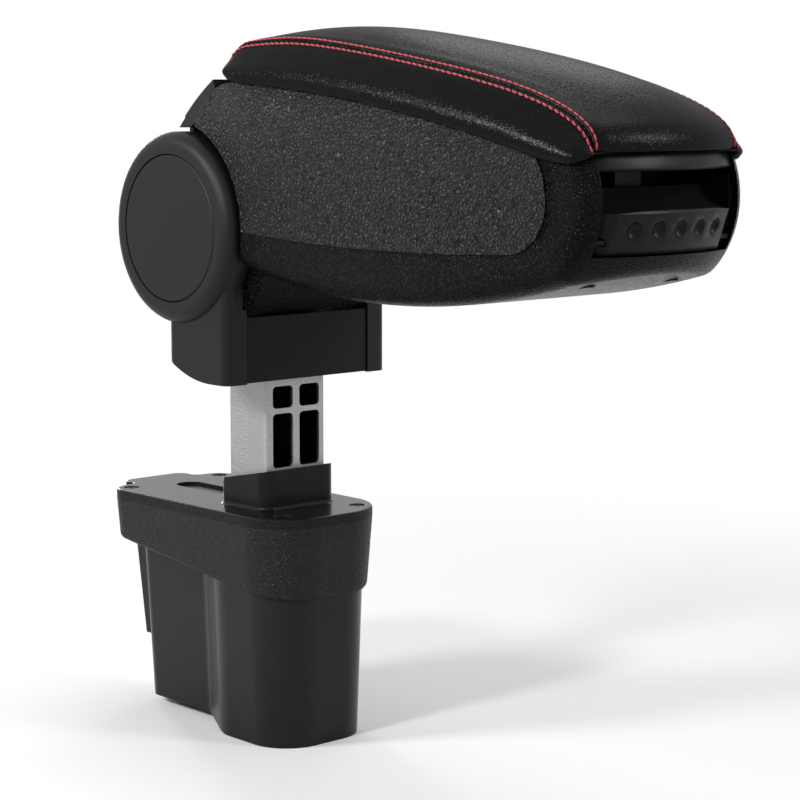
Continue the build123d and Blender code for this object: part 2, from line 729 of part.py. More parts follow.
with BuildPart() as arm_solid:
    extrude(arm_profile(), amount=2 * arm_half, dir=(0, 1, 0), both=True)
    add(arm_sides(), mode=Mode.INTERSECT)
    add(nose_form(), mode=Mode.INTERSECT)
    front_edges = arm_solid.edges().filter_by(lambda e: e.center().X > hinge_x + arm_reach - nose_length)
    corner_edges = front_edges.filter_by(lambda e: abs(e.center().Y) > frame_split)
    uprights = corner_edges.filter_by(lambda e: e.bounding_box().size.Z > arm_edge)
    fillet(uprights + low_edges(arm_solid), radius=arm_edge)
with BuildPart() as arm_hollow:
    extrude(arm_profile(arm_wall, 2 * arm_wall), amount=2 * arm_half, dir=(0, 1, 0), both=True)
    add(arm_column(-arm_wall), mode=Mode.INTERSECT)
    fillet(low_edges(arm_hollow), radius=arm_edge - arm_wall)
    add(nose_form(arm_wall + 0.4), mode=Mode.INTERSECT)
with BuildPart() as arm_skin:
    add(arm_solid.part)
    add(arm_hollow.part, mode=Mode.SUBTRACT)


# Side panel: coarse-grained inlay in a shallow rebate of the side frame


def panel_outline(grow=0.0):
    """Side panel seen from the side."""
    front = arm_reach - panel_front
    top = front - panel_lean
    rear = rear_radius + 0.6
    rear_foot = (rear, panel_rise - panel_floor)
    with BuildSketch(hinge_plane, mode=Mode.PRIVATE) as outline:
        with BuildLine():
            ThreePointArc(rear_foot, (arm_reach * 0.55, -panel_floor), (front, panel_rise - panel_floor))
            Line((front, panel_rise - panel_floor), (top, deck_z(top) - panel_drop_in))
            deck_arc(deck_start, top, -panel_drop_in)
            rear_edge((deck_start, deck_z(deck_start) - panel_drop_in), on_circle(rear, rear_top))
            ThreePointArc(on_circle(rear, rear_top), on_circle(rear, rear_top / 2), rear_foot)
        make_face()
        fillet(outline.vertices().sort_by(Axis.X)[-1], radius=panel_corner)
        fillet(outline.vertices().filter_by(lambda v: abs(v.X - top) < 0.01), radius=panel_shoulder)
        if grow:
            offset(amount=grow, kind=Kind.ARC)
    return outline.sketch


panel_inside = arm_column(panel_proud - panel_thickness)
panel_outside = arm_column(panel_proud)
with BuildPart() as right_panel:
    extrude(panel_outline(), amount=2 * arm_half, dir=(0, -1, 0))
    add(panel_outside, mode=Mode.INTERSECT)
    add(panel_inside, mode=Mode.SUBTRACT)
with BuildPart() as left_panel:
    mirror(right_panel.part, about=Plane.XZ)
keep(right_panel.part, "right_side_panel")
keep(left_panel.part, "left_side_panel")

# Side frame: side wall with its rounded lower edge and front corner, rebated for the panel.
# A thin guard closes the gap round the hinge disc
guard_face = boss_face + 0.5
guard_wall = 1.2


def guard_sector(inner, away):
    """Ring sector round the hinge, on a plane away from the middle."""
    outer = rear_radius + arm_wall
    with BuildSketch(hinge_plane.offset(away), mode=Mode.PRIVATE) as sector:
        with BuildLine():
            ThreePointArc(on_circle(outer, -12), on_circle(outer, 30), on_circle(outer, rear_top))
            Line(on_circle(outer, rear_top), on_circle(inner, rear_top))
            ThreePointArc(on_circle(inner, rear_top), on_circle(inner, 30), on_circle(inner, -12))
            Line(on_circle(inner, -12), on_circle(outer, -12))
        make_face()
    return sector.sketch


with BuildPart() as panel_rebate:
    extrude(panel_outline(panel_seam), amount=2 * arm_half, dir=(0, -1, 0))
    add(panel_inside, mode=Mode.SUBTRACT)
with BuildPart() as right_frame:
    add(arm_skin.part)
    with Locations((0, -frame_split, hinge_z)):
        Box(2 * far, far, far, align=(Align.CENTER, Align.MAX, Align.CENTER), mode=Mode.INTERSECT)
    add(panel_rebate.part, mode=Mode.SUBTRACT)
    extrude(guard_sector(rear_radius, frame_split), amount=frame_split - guard_face, dir=(0, 1, 0))
    extrude(guard_sector(drum_radius + running_gap, guard_face), amount=guard_wall, dir=(0, -1, 0))
with BuildPart() as left_frame:
    mirror(right_frame.part, about=Plane.XZ)
keep(right_frame.part, "right_side_frame")
keep(left_frame.part, "left_side_frame")

# Lower shell: underside and nose, with the drum that turns behind the boot's panel
drum_width = panel_half - 1.0  # half the width of the drum
web_outside, web_inside = skin_radius - 1.0, drum_radius + running_gap  # webs that close the drum's ends
bracket_foot = 14.0  # the brackets' feet below the hinge axis
bracket_reach = 80.0
bracket_screws = [(x, y) for x in (63.0, 74.0) for y in (-26.0, 26.0)]
bin_screws = [(x, y) for x in (105.0, 165.0) for y in (-26.0, 26.0)]
housing_screws = [(arm_reach - 31.0, y) for y in (-26.0, 26.0)]
housing_foot = grip_floor + 3.7  # below the hinge axis
screw_bite = 1.2  # into the floor of the bin or the housing
screw_tops = [(x, y, bracket_thickness - bracket_foot) for x, y in bracket_screws]
screw_tops += [(x, y, screw_bite - bin_floor) for x, y in bin_screws]
screw_tops += [(x, y, screw_bite - housing_foot) for x, y in housing_screws]
with BuildPart() as shell_bosses:
    for spots, top in ((bracket_screws, bracket_foot), (bin_screws, bin_floor), (housing_screws, housing_foot)):
        with Locations(*[(hinge_x + x, y, hinge_z - top) for x, y in spots]):
            Cylinder(boss_radius, keel_depth, align=(Align.CENTER, Align.CENTER, Align.MAX))
    add(arm_solid.part, mode=Mode.INTERSECT)
with BuildPart() as lower_shell:
    add(arm_skin.part)
    with Locations((0, 0, hinge_z)):
        Box(2 * far, 2 * frame_split, 2 * far, mode=Mode.INTERSECT)
    with Locations((hinge_x, 0, hinge_z - bracket_foot - running_gap)):
        Box(
            skin_radius + 2 * arm_wall, far, far,
            align=(Align.MIN, Align.CENTER, Align.MIN), mode=Mode.SUBTRACT,
        )
    with Locations((hinge_x + arm_reach / 2, 0, hinge_z - grip_floor - 0.6)):
        Box(far, far, far, align=(Align.MIN, Align.CENTER, Align.MIN), mode=Mode.SUBTRACT)
    with BuildSketch(hinge_plane):
        with BuildLine():
            ThreePointArc(
                on_circle(skin_radius, -17), on_circle(skin_radius, -36), on_circle(skin_radius, -54)
            )
            Line(on_circle(skin_radius, -54), on_circle(skin_radius - arm_wall, -54))
            ThreePointArc(
                on_circle(skin_radius - arm_wall, -54), on_circle(skin_radius - arm_wall, -36),
                on_circle(skin_radius - arm_wall, -17),
            )
            Line(on_circle(skin_radius - arm_wall, -17), on_circle(skin_radius, -17))
        make_face()
    extrude(amount=drum_width, both=True)
    for side in (-1, 1):
        with BuildSketch(hinge_plane.offset(side * drum_width)):
            with BuildLine():
                ThreePointArc(on_circle(web_outside, -21), on_circle(web_outside, -36), on_circle(web_outside, -54))
                Line(on_circle(web_outside, -54), on_circle(web_inside, -54))
                ThreePointArc(on_circle(web_inside, -54), on_circle(web_inside, -36), on_circle(web_inside, -21))
                Line(on_circle(web_inside, -21), on_circle(web_outside, -21))
            make_face()
        extrude(amount=-side * guard_wall)
    add(shell_bosses.part)
    for x, y, top in screw_tops:
        with Locations((hinge_x + x, y, hinge_z + keel_z(x) + screw_sink)):
            Cylinder(screw_radius, 2 * keel_depth, mode=Mode.SUBTRACT)
            Cylinder(screw_head + 0.4, keel_depth, align=(Align.CENTER, Align.CENTER, Align.MAX), mode=Mode.SUBTRACT)
keep(lower_shell.part, "lower_shell")

# Arm brackets: steel plates from the hinge into the arm, with a foot on the lower shell
bracket_face = eye_half + washer_thickness + 0.3
with BuildPart() as right_bracket:
    with BuildSketch(hinge_plane.offset(bracket_face)):
        Circle(eye_radius - 3)
        with BuildLine():
            Polyline(
                (0, eye_radius - 3), (skin_radius, eye_radius - 6), (bracket_reach, 0),
                (bracket_reach, -bracket_foot), (skin_radius, -bracket_foot), (0, -eye_radius + 3), close=True,
            )
        make_face()
        Circle(bolt_radius + 0.3, mode=Mode.SUBTRACT)
    extrude(amount=bracket_thickness)
    with Locations((hinge_x + bracket_reach, -bracket_face - bracket_thickness, hinge_z - bracket_foot)):
        Box(
            bracket_reach - skin_radius - 1.5, bracket_face + bracket_thickness - 19, bracket_thickness,
            align=(Align.MAX, Align.MIN, Align.MIN),
        )
    with Locations(*[(hinge_x + x, y, hinge_z - bracket_foot) for x, y in bracket_screws if y < 0]):
        Cylinder(screw_radius, far, mode=Mode.SUBTRACT)
with BuildPart() as left_bracket:
    mirror(right_bracket.part, about=Plane.XZ)
keep(right_bracket.part, "right_arm_bracket")
keep(left_bracket.part, "left_arm_bracket")

# Rear cover: curved cover behind the lid, with cheeks inside the frames and lugs for the lid's pin
cover_curve = ((-2.5, cover_radius + 0.3), (6.5, 57.0), (17.5, 65.5), (26.3, 71.2))
cover_inner = ((1.0, cover_radius + 0.3), (8.6, 55.4), (19.0, 63.2), (27.0, 68.5))
lug_inside, lug_outside = 30.0, 36.0
beam_rear, beam_front, beam_height = 23.5, 46.0, 55.0
beam_thickness = 3.0
beam_drop = 2.5  # the front wall's top below the deck
cover_lip = 3.0  # lip that closes the gap over the hinge
arm_inside = arm_column(-arm_wall)
with BuildPart() as cover_cheeks:
    with BuildSketch(hinge_plane):
        with BuildLine():
            Spline(*cover_curve)
            Polyline(
                cover_curve[-1], (28.0, 66.0), (46.0, 58.0), (46.0, 51.0), (30.0, 51.5), (23.0, 54.0),
                (16.5, 53.0), (8.0, 49.0), cover_curve[0],
            )
        make_face()
    extrude(amount=far, both=True)
    add(arm_inside, mode=Mode.INTERSECT)
    with Locations((0, 0, hinge_z)):
        Box(2 * far, 2 * (arm_end_half - 2 * arm_wall), 2 * far, mode=Mode.SUBTRACT)
with BuildPart() as rear_cover:
    with BuildSketch(hinge_plane):
        with BuildLine():
            Spline(*cover_curve)
            Line(cover_curve[-1], cover_inner[-1])
            Spline(*reversed(cover_inner))
            Line(cover_inner[0], cover_curve[0])
        make_face()
    extrude(amount=arm_end_half - arm_wall - 0.6, both=True)
    with Locations((hinge_x + cover_curve[0][0], 0, hinge_z + cover_curve[0][1] + 0.5)):
        Box(
            cover_lip, 2 * (cheek_half - running_gap), cover_curve[0][1] + 0.5 - drum_radius - running_gap,
            align=(Align.MIN, Align.CENTER, Align.MAX),
        )
    add(cover_cheeks.part)
    with Locations((hinge_x + beam_rear, 0, hinge_z + beam_height)):
        Box(
            beam_front - beam_rear, 2 * (arm_end_half - 1.5 * arm_wall), beam_thickness,
            align=(Align.MIN, Align.CENTER, Align.MIN),
        )
    with Locations((hinge_x + beam_front, 0, hinge_z + beam_height)):
        Box(
            arm_wall, 2 * (arm_end_half - 1.5 * arm_wall), deck_rear - beam_height - beam_drop,
            align=(Align.MAX, Align.CENTER, Align.MIN),
        )
    for side in (-1, 1):
        with BuildSketch(hinge_plane.offset(side * lug_inside)):
            with Locations((lid_pivot, deck_rear)):
                Circle(knuckle_radius)
            with Locations((lid_pivot, (deck_rear + beam_height + 1) / 2)):
                Rectangle(2 * knuckle_radius, deck_rear - beam_height - 1)
        extrude(amount=side * (lug_outside - lug_inside))
    with BuildSketch(hinge_plane):
        with Locations((lid_pivot, deck_rear)):
            Circle(lid_pin_radius)
    extrude(amount=far, both=True, mode=Mode.SUBTRACT)
keep(rear_cover.part, "rear_cover")

# Lid pin
with BuildPart() as lid_pin:
    with BuildSketch(hinge_plane):
        with Locations((lid_pivot, deck_rear)):
            Circle(lid_pin_radius)
    extrude(amount=lug_outside + 0.5, both=True)
keep(lid_pin.part, "lid_pin")

# Storage bin: open tray whose rim reaches the frames


def bin_profile(inset):
    """Bin seen from the side."""
    floor = -bin_floor + inset
    rear, front = bin_rear + inset, bin_front - inset
    with BuildSketch(hinge_plane, mode=Mode.PRIVATE) as profile:
        with BuildLine():
            Polyline(
                (rear, deck_z(rear)), (rear, floor), ((rear + 2 * front) / 3, floor),
                (front, floor + bin_rise), (front, deck_z(front)),
            )
            deck_arc(rear, front, 0)
        make_face()
        fillet(profile.vertices().sort_by(Axis.Y)[:2].sort_by(Axis.X)[0], radius=bin_corner - inset)
    return profile.sketch


rim_rear, rim_front = lid_pivot + 2 * knuckle_radius, arm_reach - housing_depth - rim_gap
with BuildPart() as bin_rim:
    with BuildSketch(hinge_plane):
        with BuildLine():
            deck_arc(rim_rear, rim_front, -bin_drop)
            Line((rim_front, deck_z(rim_front) - bin_drop), (rim_front, deck_z(rim_front) - bin_drop - bin_wall))
            deck_arc(rim_rear, rim_front, -bin_drop - bin_wall)
            Line((rim_rear, deck_z(rim_rear) - bin_drop), (rim_rear, deck_z(rim_rear) - bin_drop - bin_wall))
        make_face()
    extrude(amount=far, both=True)
    add(arm_inside, mode=Mode.INTERSECT)
with BuildPart() as deck_cut:
    with BuildSketch(hinge_plane):
        with BuildLine():
            deck_arc(0, arm_reach + beyond, -bin_drop)
            Polyline(
                (arm_reach + beyond, deck_z(arm_reach + beyond) - bin_drop), (arm_reach + beyond, far),
                (0, far), (0, deck_z(0) - bin_drop),
            )
        make_face()
    extrude(amount=far, both=True)
with BuildPart() as storage_bin:
    extrude(bin_profile(0), amount=bin_half, dir=(0, 1, 0), both=True)
    add(bin_rim.part)
    extrude(bin_profile(bin_wall), amount=bin_half - bin_wall, dir=(0, 1, 0), both=True, mode=Mode.SUBTRACT)
    add(deck_cut.part, mode=Mode.SUBTRACT)
    with Locations(*[(hinge_x + x, y, hinge_z - bin_floor) for x, y in bin_screws]):
        Cylinder(screw_radius, 2 * screw_bite, mode=Mode.SUBTRACT)
keep(storage_bin.part, "storage_bin")

# Catch housing: dark box round the release grip
nose = arm_reach  # front of the arm, ahead of the hinge axis
housing_rear = nose - housing_depth
housing_half = frame_split - 0.2
with BuildPart() as catch_housing:
    with Locations((hinge_x + housing_rear, 0, hinge_z - housing_foot)):
        Box(
            far, 2 * housing_half, housing_wall,
            align=(Align.MIN, Align.CENTER, Align.MIN),
        )
        Box(
            housing_wall, 2 * housing_half, housing_foot + deck_z(housing_rear) - 4.0,
            align=(Align.MIN, Align.CENTER, Align.MIN),
        )
        for side in (Align.MIN, Align.MAX):
            edge = -housing_half if side == Align.MIN else housing_half
            with Locations((0, edge, 0)):
                Box(
                    far, housing_half - grip_half - 0.6, housing_foot + deck_front - lid_bar_height - 1.5,
                    align=(Align.MIN, side, Align.MIN),
                )
    add(arm_hollow.part, mode=Mode.INTERSECT)
    with BuildSketch(hinge_plane):
        with Locations((nose - catch_pin_back, catch_pin_height)):
            Circle(catch_pin_radius)
    extrude(amount=far, both=True, mode=Mode.SUBTRACT)
    with Locations(*[(hinge_x + x, y, hinge_z - housing_foot) for x, y in housing_screws]):
        Cylinder(screw_radius, 2 * screw_bite, mode=Mode.SUBTRACT)
keep(catch_housing.part, "catch_housing")

# Release grip: dimpled front with a finger scoop behind its top edge, hollow inside
grip_top = grip_height - grip_floor


def grip_front(setback):
    """Front of the grip, which leans back towards the bottom and has its top edge broken."""
    low, high = -grip_floor - grip_wall, grip_top + grip_height
    return front_ring((
        (bow_radius, low), (setback + grip_lean, low), (setback, grip_top - grip_break),
        (setback + 0.3 * grip_break, grip_top - 0.3 * grip_break), (setback + grip_break, grip_top),
        (setback + 2 * grip_break, high), (bow_radius, high),
    ))


def grip_face_x(across, height):
    """X of the grip's front, from the hinge axis."""
    lean = grip_lean * (grip_top - grip_break - height) / (grip_height + grip_wall - grip_break)
    return nose - bow_radius + sqrt((bow_radius - grip_setback - lean) ** 2 - across**2)


def grip_corner_cut(side):
    """Leaning wedge that takes the corner off one end of the front."""
    height = grip_top - grip_break
    drop = grip_height + grip_wall - grip_break
    outer = Vector(grip_face_x(grip_half, height) - grip_corner, side * grip_half)
    inner = Vector(grip_face_x(grip_half - grip_corner, height), side * (grip_half - grip_corner))
    outer, inner = 2 * outer - inner, 2 * inner - outer
    with BuildPart(mode=Mode.PRIVATE) as wedge:
        with BuildSketch(Plane((hinge_x + grip_lean, 0, hinge_z + height + drop))):
            with BuildLine():
                Polyline(
                    (outer.X, outer.Y), (inner.X, inner.Y), (inner.X + beyond, inner.Y),
                    (inner.X + beyond, outer.Y), close=True,
                )
            make_face()
        extrude(amount=2 * sqrt(drop**2 + grip_lean**2) + grip_wall, dir=(-grip_lean, 0, -drop))
    return wedge.part


def grip_profile(inset):
    """Grip seen from the side; the upper line is the scoop."""
    scoop_top, body_rear = grip_top + scoop_rise - inset, nose - grip_body - 3 * inset
    with BuildSketch(hinge_plane, mode=Mode.PRIVATE) as profile:
        with BuildLine():
            Polyline(
                (nose - grip_depth - scoop_wall, scoop_top), (body_rear, 0.7 * grip_top - inset),
                (body_rear, -grip_floor - inset), (nose + beyond, -grip_floor - inset),
                (nose + beyond, grip_top - inset), (nose - scoop_front, grip_top - inset),
            )
            ThreePointArc(
                (nose - scoop_front, grip_top - inset), (nose - grip_depth / 2, grip_top - scoop_sag - inset),
                (nose - grip_depth, scoop_top),
            )
            Line((nose - grip_depth, scoop_top), (nose - grip_depth - scoop_wall, scoop_top))
        make_face()
    return profile.sketch


dimple_spots = []
for place in range(-2, 3):
    across = place * dimple_pitch
    face_x = grip_face_x(across, dimple_height)
    dimple_spots.append((hinge_x + face_x + dimple_radius - dimple_depth, across, hinge_z + dimple_height))
with BuildPart() as release_grip:
    extrude(grip_profile(0), amount=grip_half, dir=(0, 1, 0), both=True)
    add(grip_front(grip_setback), mode=Mode.INTERSECT)
    for side in (1, -1):
        add(grip_corner_cut(side), mode=Mode.SUBTRACT)
    with BuildPart(mode=Mode.PRIVATE) as grip_hollow:
        extrude(grip_profile(grip_wall), amount=grip_half - grip_wall, dir=(0, 1, 0), both=True)
        add(grip_front(grip_setback + grip_wall), mode=Mode.INTERSECT)
    add(grip_hollow.part, mode=Mode.SUBTRACT)
    for spot in dimple_spots:
        with Locations(spot):
            Sphere(dimple_radius, rotation=(0, 90, 0), mode=Mode.SUBTRACT)
    with BuildSketch(hinge_plane):
        with Locations((nose - catch_pin_back, catch_pin_height)):
            Circle(catch_pin_radius + 0.3)
    extrude(amount=far, both=True, mode=Mode.SUBTRACT)
keep(release_grip.part, "release_grip")

# Catch pin
with BuildPart() as catch_pin:
    with BuildSketch(hinge_plane):
        with Locations((nose - catch_pin_back, catch_pin_height)):
            Circle(catch_pin_radius)
    extrude(amount=housing_half, both=True)
keep(catch_pin.part, "catch_pin")

# Lid pan: curved carrier with hinge knuckles, a catch tab and the front bar
pan_rear = lid_pivot + knuckle_radius + 2.0
bar_low, bar_high = deck_front + lid_gap - lid_bar_height, deck_front + lid_gap + 1.0
with BuildPart() as pan_bar:
    add(front_ring((
        (lid_bar_depth + 3, bar_high), (lid_bar_depth, bar_low + 2), (lid_bar_depth - 2, bar_low),
        (bar_setback + 3.2, bar_low), (bar_setback + 2.0, bar_low + 1.2), (bar_setback + 4.4, bar_high),
    )))
    with Locations((0, 0, hinge_z)):
        Box(2 * far, 2 * (frame_split - running_gap), 2 * far, mode=Mode.INTERSECT)
pan_trim = front_ring((
    (bar_setback + 5.5, bar_low), (-beyond, bar_low), (-beyond, bar_high + 2 * pan_thickness),
    (bar_setback + 5.5, bar_high + 2 * pan_thickness),
))
with BuildPart() as lid_pan:
    with BuildSketch(hinge_plane):
        with BuildLine():
            end = nose + beyond
            deck_arc(pan_rear, end, lid_gap)
            Line((end, deck_z(end) + lid_gap), (end, deck_z(end) + lid_gap + pan_thickness))
            deck_arc(pan_rear, end, lid_gap + pan_thickness)
            Line(
                (pan_rear, deck_z(pan_rear) + lid_gap), (pan_rear, deck_z(pan_rear) + lid_gap + pan_thickness)
            )
        make_face()
    extrude(amount=far, both=True)
    add(arm_column(-pan_inset), mode=Mode.INTERSECT)
    add(pan_trim, mode=Mode.SUBTRACT)
    add(pan_bar.part)
    for side in (-1, 1):
        with BuildSketch(hinge_plane.offset(side * (lug_inside - 0.4))):
            with Locations((lid_pivot, deck_rear)):
                Circle(knuckle_radius)
            with BuildLine():
                Polyline(
                    (lid_pivot, deck_rear + knuckle_radius), (pan_rear + 3, deck_rear + knuckle_radius),
                    (pan_rear + 6, deck_rear + lid_gap + 0.5), (lid_pivot, deck_rear - 2.0), close=True,
                )
            make_face()
        extrude(amount=-side * knuckle_length)
    with Locations((hinge_x + nose - striker_back, 0, hinge_z + striker_low)):
        Box(
            pan_thickness, striker_width, deck_z(nose - striker_back) + lid_gap + 1 - striker_low,
            align=(Align.MIN, Align.CENTER, Align.MIN),
        )
    with BuildSketch(hinge_plane):
        with Locations((lid_pivot, deck_rear)):
            Circle(lid_pin_radius + 0.3)
    extrude(amount=far, both=True, mode=Mode.SUBTRACT)
keep(lid_pan.part, "lid_pan")

# Lid cushion: crowned pad whose side goes down round the pan
# Each station has its place, then its shares of the side's height and of the crown
cushion_stations = (
    (cushion_rear - 8, 0.62, 0.55), (cushion_rear + 6, 0.9, 0.8), (cushion_rear + 26, 1.0, 0.95),
    (0.36 * arm_reach, 1.02, 1.0), (0.57 * arm_reach, 0.95, 1.0), (arm_reach - 66, 0.83, 1.0), (arm_reach - 36, 0.55, 1.1),
    (arm_reach - 16, 0.24, 1.15), (arm_reach + 6, 0.1, 0.75),
)


def cushion_section(x, side, crown):
    """Cushion seen from the front at one station."""
    low = deck_z(x) + lid_gap + 0.2
    seam = low + side * cushion_side
    wide = side_half(x) + cushion_proud
    section_plane = Plane(origin=(hinge_x + x, 0, hinge_z), x_dir=(0, 1, 0), z_dir=(1, 0, 0))
    with BuildSketch(section_plane, mode=Mode.PRIVATE) as section:
        with BuildLine():
            Line((-wide, low), (wide, low))
            ThreePointArc(
                (wide, low), (wide - 0.3 * (wide - seam_half), low + 0.62 * (seam - low)), (seam_half, seam)
            )
            ThreePointArc((seam_half, seam), (0, seam + crown * cushion_crown), (-seam_half, seam))
            ThreePointArc(
                (-seam_half, seam), (-wide + 0.3 * (wide - seam_half), low + 0.62 * (seam - low)), (-wide, low)
            )
        make_face()
    return section.sketch


def cushion_column():
    """Upright column that gives the cushion its bowed front and front corners."""
    wide, bow = arm_half + arm_wall, bow_radius + cushion_proud
    front = hinge_x + arm_reach - bow_radius
    corner = front + sqrt(bow**2 - wide**2)
    with BuildPart(mode=Mode.PRIVATE) as column:
        with BuildSketch(Plane.XY.offset(boot_foot)) as outline:
            with BuildLine():
                ThreePointArc((corner, -wide), (front + bow, 0), (corner, wide))
                Polyline((corner, wide), (hinge_x, wide), (hinge_x, -wide), (corner, -wide))
            make_face()
            fillet(outline.vertices().group_by(Axis.X)[-1], radius=cushion_corner)
        extrude(amount=far)
    return column.part


with BuildPart() as lid_cushion:
    loft([cushion_section(*station).faces()[0] for station in cushion_stations])
    add(cushion_column(), mode=Mode.INTERSECT)
    with BuildSketch(hinge_plane):
        with BuildLine():
            turn_x, turn_z = cushion_rear + cushion_round, deck_rear + cushion_heel
            middle, upper = (
                (turn_x - cushion_round * cos(angle), turn_z + cushion_round * sin(angle))
                for angle in (cushion_turn / 2, cushion_turn)
            )
            end = arm_reach + beyond
            top = upper[1] + (end - upper[0]) / tan(cushion_turn)
            ThreePointArc((cushion_rear, turn_z), middle, upper)
            Polyline(upper, (end, top), (end, 0), (cushion_rear, 0), (cushion_rear, turn_z))
        make_face()
    extrude(amount=far, both=True, mode=Mode.INTERSECT)
    with Locations((hinge_x, 0, hinge_z + deck_rear + knuckle_radius + 1.2)):
        Box(pan_rear + 1, far, far, align=(Align.MIN, Align.CENTER, Align.MAX), mode=Mode.SUBTRACT)
    add(lid_pan.part, mode=Mode.SUBTRACT)
keep(lid_cushion.part, "lid_cushion")

# Bottom screws: up through the lower shell into the brackets, the bin and the catch housing
with BuildPart() as bottom_screws:
    for x, y, top in screw_tops:
        seat = hinge_z + keel_z(x) + screw_sink
        with Locations((hinge_x + x, y, seat)):
            Cylinder(screw_radius, hinge_z + top - seat, align=(Align.CENTER, Align.CENTER, Align.MIN))
            Cylinder(screw_head, screw_sink, align=(Align.CENTER, Align.CENTER, Align.MAX))
        with Locations((hinge_x + x, y, seat - screw_sink)):
            Box(0.7, 1.3 * screw_head, 1.4, mode=Mode.SUBTRACT)
            Box(1.3 * screw_head, 0.7, 1.4, mode=Mode.SUBTRACT)
keep(bottom_screws.part, "bottom_screws")

print(len(pieces), "pieces")
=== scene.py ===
import json
from math import cos, pi, radians, sin

import bmesh
import bpy
import numpy as np
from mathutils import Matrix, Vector


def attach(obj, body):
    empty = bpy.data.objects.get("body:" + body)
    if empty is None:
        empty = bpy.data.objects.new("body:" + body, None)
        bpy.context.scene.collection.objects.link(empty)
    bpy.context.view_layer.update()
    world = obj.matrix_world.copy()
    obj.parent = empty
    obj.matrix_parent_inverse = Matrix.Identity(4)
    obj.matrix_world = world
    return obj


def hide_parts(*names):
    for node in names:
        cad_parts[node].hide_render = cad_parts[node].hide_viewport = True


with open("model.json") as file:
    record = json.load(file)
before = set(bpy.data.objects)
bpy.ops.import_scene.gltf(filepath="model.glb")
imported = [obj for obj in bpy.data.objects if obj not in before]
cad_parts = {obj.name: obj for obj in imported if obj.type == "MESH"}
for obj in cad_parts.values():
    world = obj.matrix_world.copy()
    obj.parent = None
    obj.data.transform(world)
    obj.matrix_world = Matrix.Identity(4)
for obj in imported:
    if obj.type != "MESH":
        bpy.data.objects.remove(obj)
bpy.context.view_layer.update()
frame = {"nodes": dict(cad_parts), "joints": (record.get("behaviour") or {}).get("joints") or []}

mm = 0.001

# Console insert housing: a deep thin-walled cup of injected plastic with a grained skirt
# stepped out round its mouth.  The cup below the skirt is left smooth and half glossy.
insert_black = (0.0055, 0.0055, 0.0058)
cup_roughness = 0.27
skirt_roughness = 0.46
skirt_edge_front = 73.0 * mm  # height of the skirt's lower edge under the front end
skirt_edge_slope = 18.0 / 141.0  # its rise towards the rear
skirt_front_x = 47.0 * mm
skirt_grain_cell = 1.4 * mm
skirt_grain_depth = 0.34 * mm
same_point = 0.002 * mm  # points of a CAD mesh that are closer are one
sharp_turn = radians(40)  # edges that turn more are broken


def finish(name, colour, roughness, plain=None):
    """A new material with its shader's plain values set, its node tree and its shader."""
    material = bpy.data.materials.new(name)
    material.use_nodes = True
    shader = material.node_tree.nodes["Principled BSDF"]
    shader.inputs["Base Color"].default_value = (*colour, 1.0)
    shader.inputs["Roughness"].default_value = roughness
    for socket, value in (plain or {}).items():
        shader.inputs[socket].default_value = value
    return material, material.node_tree, shader


def node(tree, kind, values=None, links=None, **options):
    """Add a shader node with its options, its plain inputs and its linked inputs."""
    made = tree.nodes.new("ShaderNode" + kind)
    for option, value in options.items():
        setattr(made, option, value)
    for socket, value in (values or {}).items():
        made.inputs[socket].default_value = value
    for socket, source in (links or {}).items():
        tree.links.new(source, made.inputs[socket])
    return made


def sums(tree, operation, *terms):
    """Arithmetic on numbers and sockets."""
    made = tree.nodes.new("ShaderNodeMath")
    made.operation = operation
    for place, term in enumerate(terms):
        if isinstance(term, (int, float)):
            made.inputs[place].default_value = term
        else:
            tree.links.new(term, made.inputs[place])
    return made.outputs[0]


def spot(tree):
    """Object coordinates of the surface, and the same split into x, y and z."""
    where = node(tree, "TexCoord").outputs["Object"]
    return where, node(tree, "SeparateXYZ", links={"Vector": where}).outputs


def ramp(tree, value, low, high, at_low=0.0, at_high=1.0):
    """Smooth step of a value between two limits."""
    made = node(
        tree, "MapRange",
        {"From Min": low, "From Max": high, "To Min": at_low, "To Max": at_high},
        {"Value": value}, interpolation_type="SMOOTHSTEP",
    )
    return made.outputs["Result"]


def pebbles(tree, where, cell, valley=0.3, wander=0.55):
    """Leather grain: rounded cells of one size with narrow valleys between them, from 0 to 1."""
    drift = node(tree, "TexNoise", {"Scale": 0.45 / cell, "Detail": 2.0}, {"Vector": where})
    centred = node(
        tree, "VectorMath", {1: (0.5, 0.5, 0.5)}, {0: drift.outputs["Color"]}, operation="SUBTRACT"
    )
    moved = node(
        tree, "VectorMath", {"Scale": 2 * wander * cell}, {0: centred.outputs[0]}, operation="SCALE"
    )
    place = node(tree, "VectorMath", None, {0: where, 1: moved.outputs[0]}, operation="ADD")
    cells = node(
        tree, "TexVoronoi", {"Scale": 1 / cell}, {"Vector": place.outputs[0]},
        feature="DISTANCE_TO_EDGE",
    )
    return ramp(tree, cells.outputs["Distance"], 0.0, valley)


def speckle(tree, where, size, detail=3.0):
    """Fine irregular relief, from 0 to 1."""
    return node(
        tree, "TexNoise", {"Scale": 1 / size, "Detail": detail, "Roughness": 0.6}, {"Vector": where}
    ).outputs["Fac"]


def emboss(tree, shader, height, depth, strength=1.0, below=None):
    """Bump of a real depth on the shader, on top of another bump if one is given."""
    bump = node(tree, "Bump", {"Distance": depth}, {"Height": height})
    if isinstance(strength, (int, float)):
        bump.inputs["Strength"].default_value = strength
    else:
        tree.links.new(strength, bump.inputs["Strength"])
    if below:
        tree.links.new(below.outputs["Normal"], bump.inputs["Normal"])
    tree.links.new(bump.outputs["Normal"], shader.inputs["Normal"])
    return bump


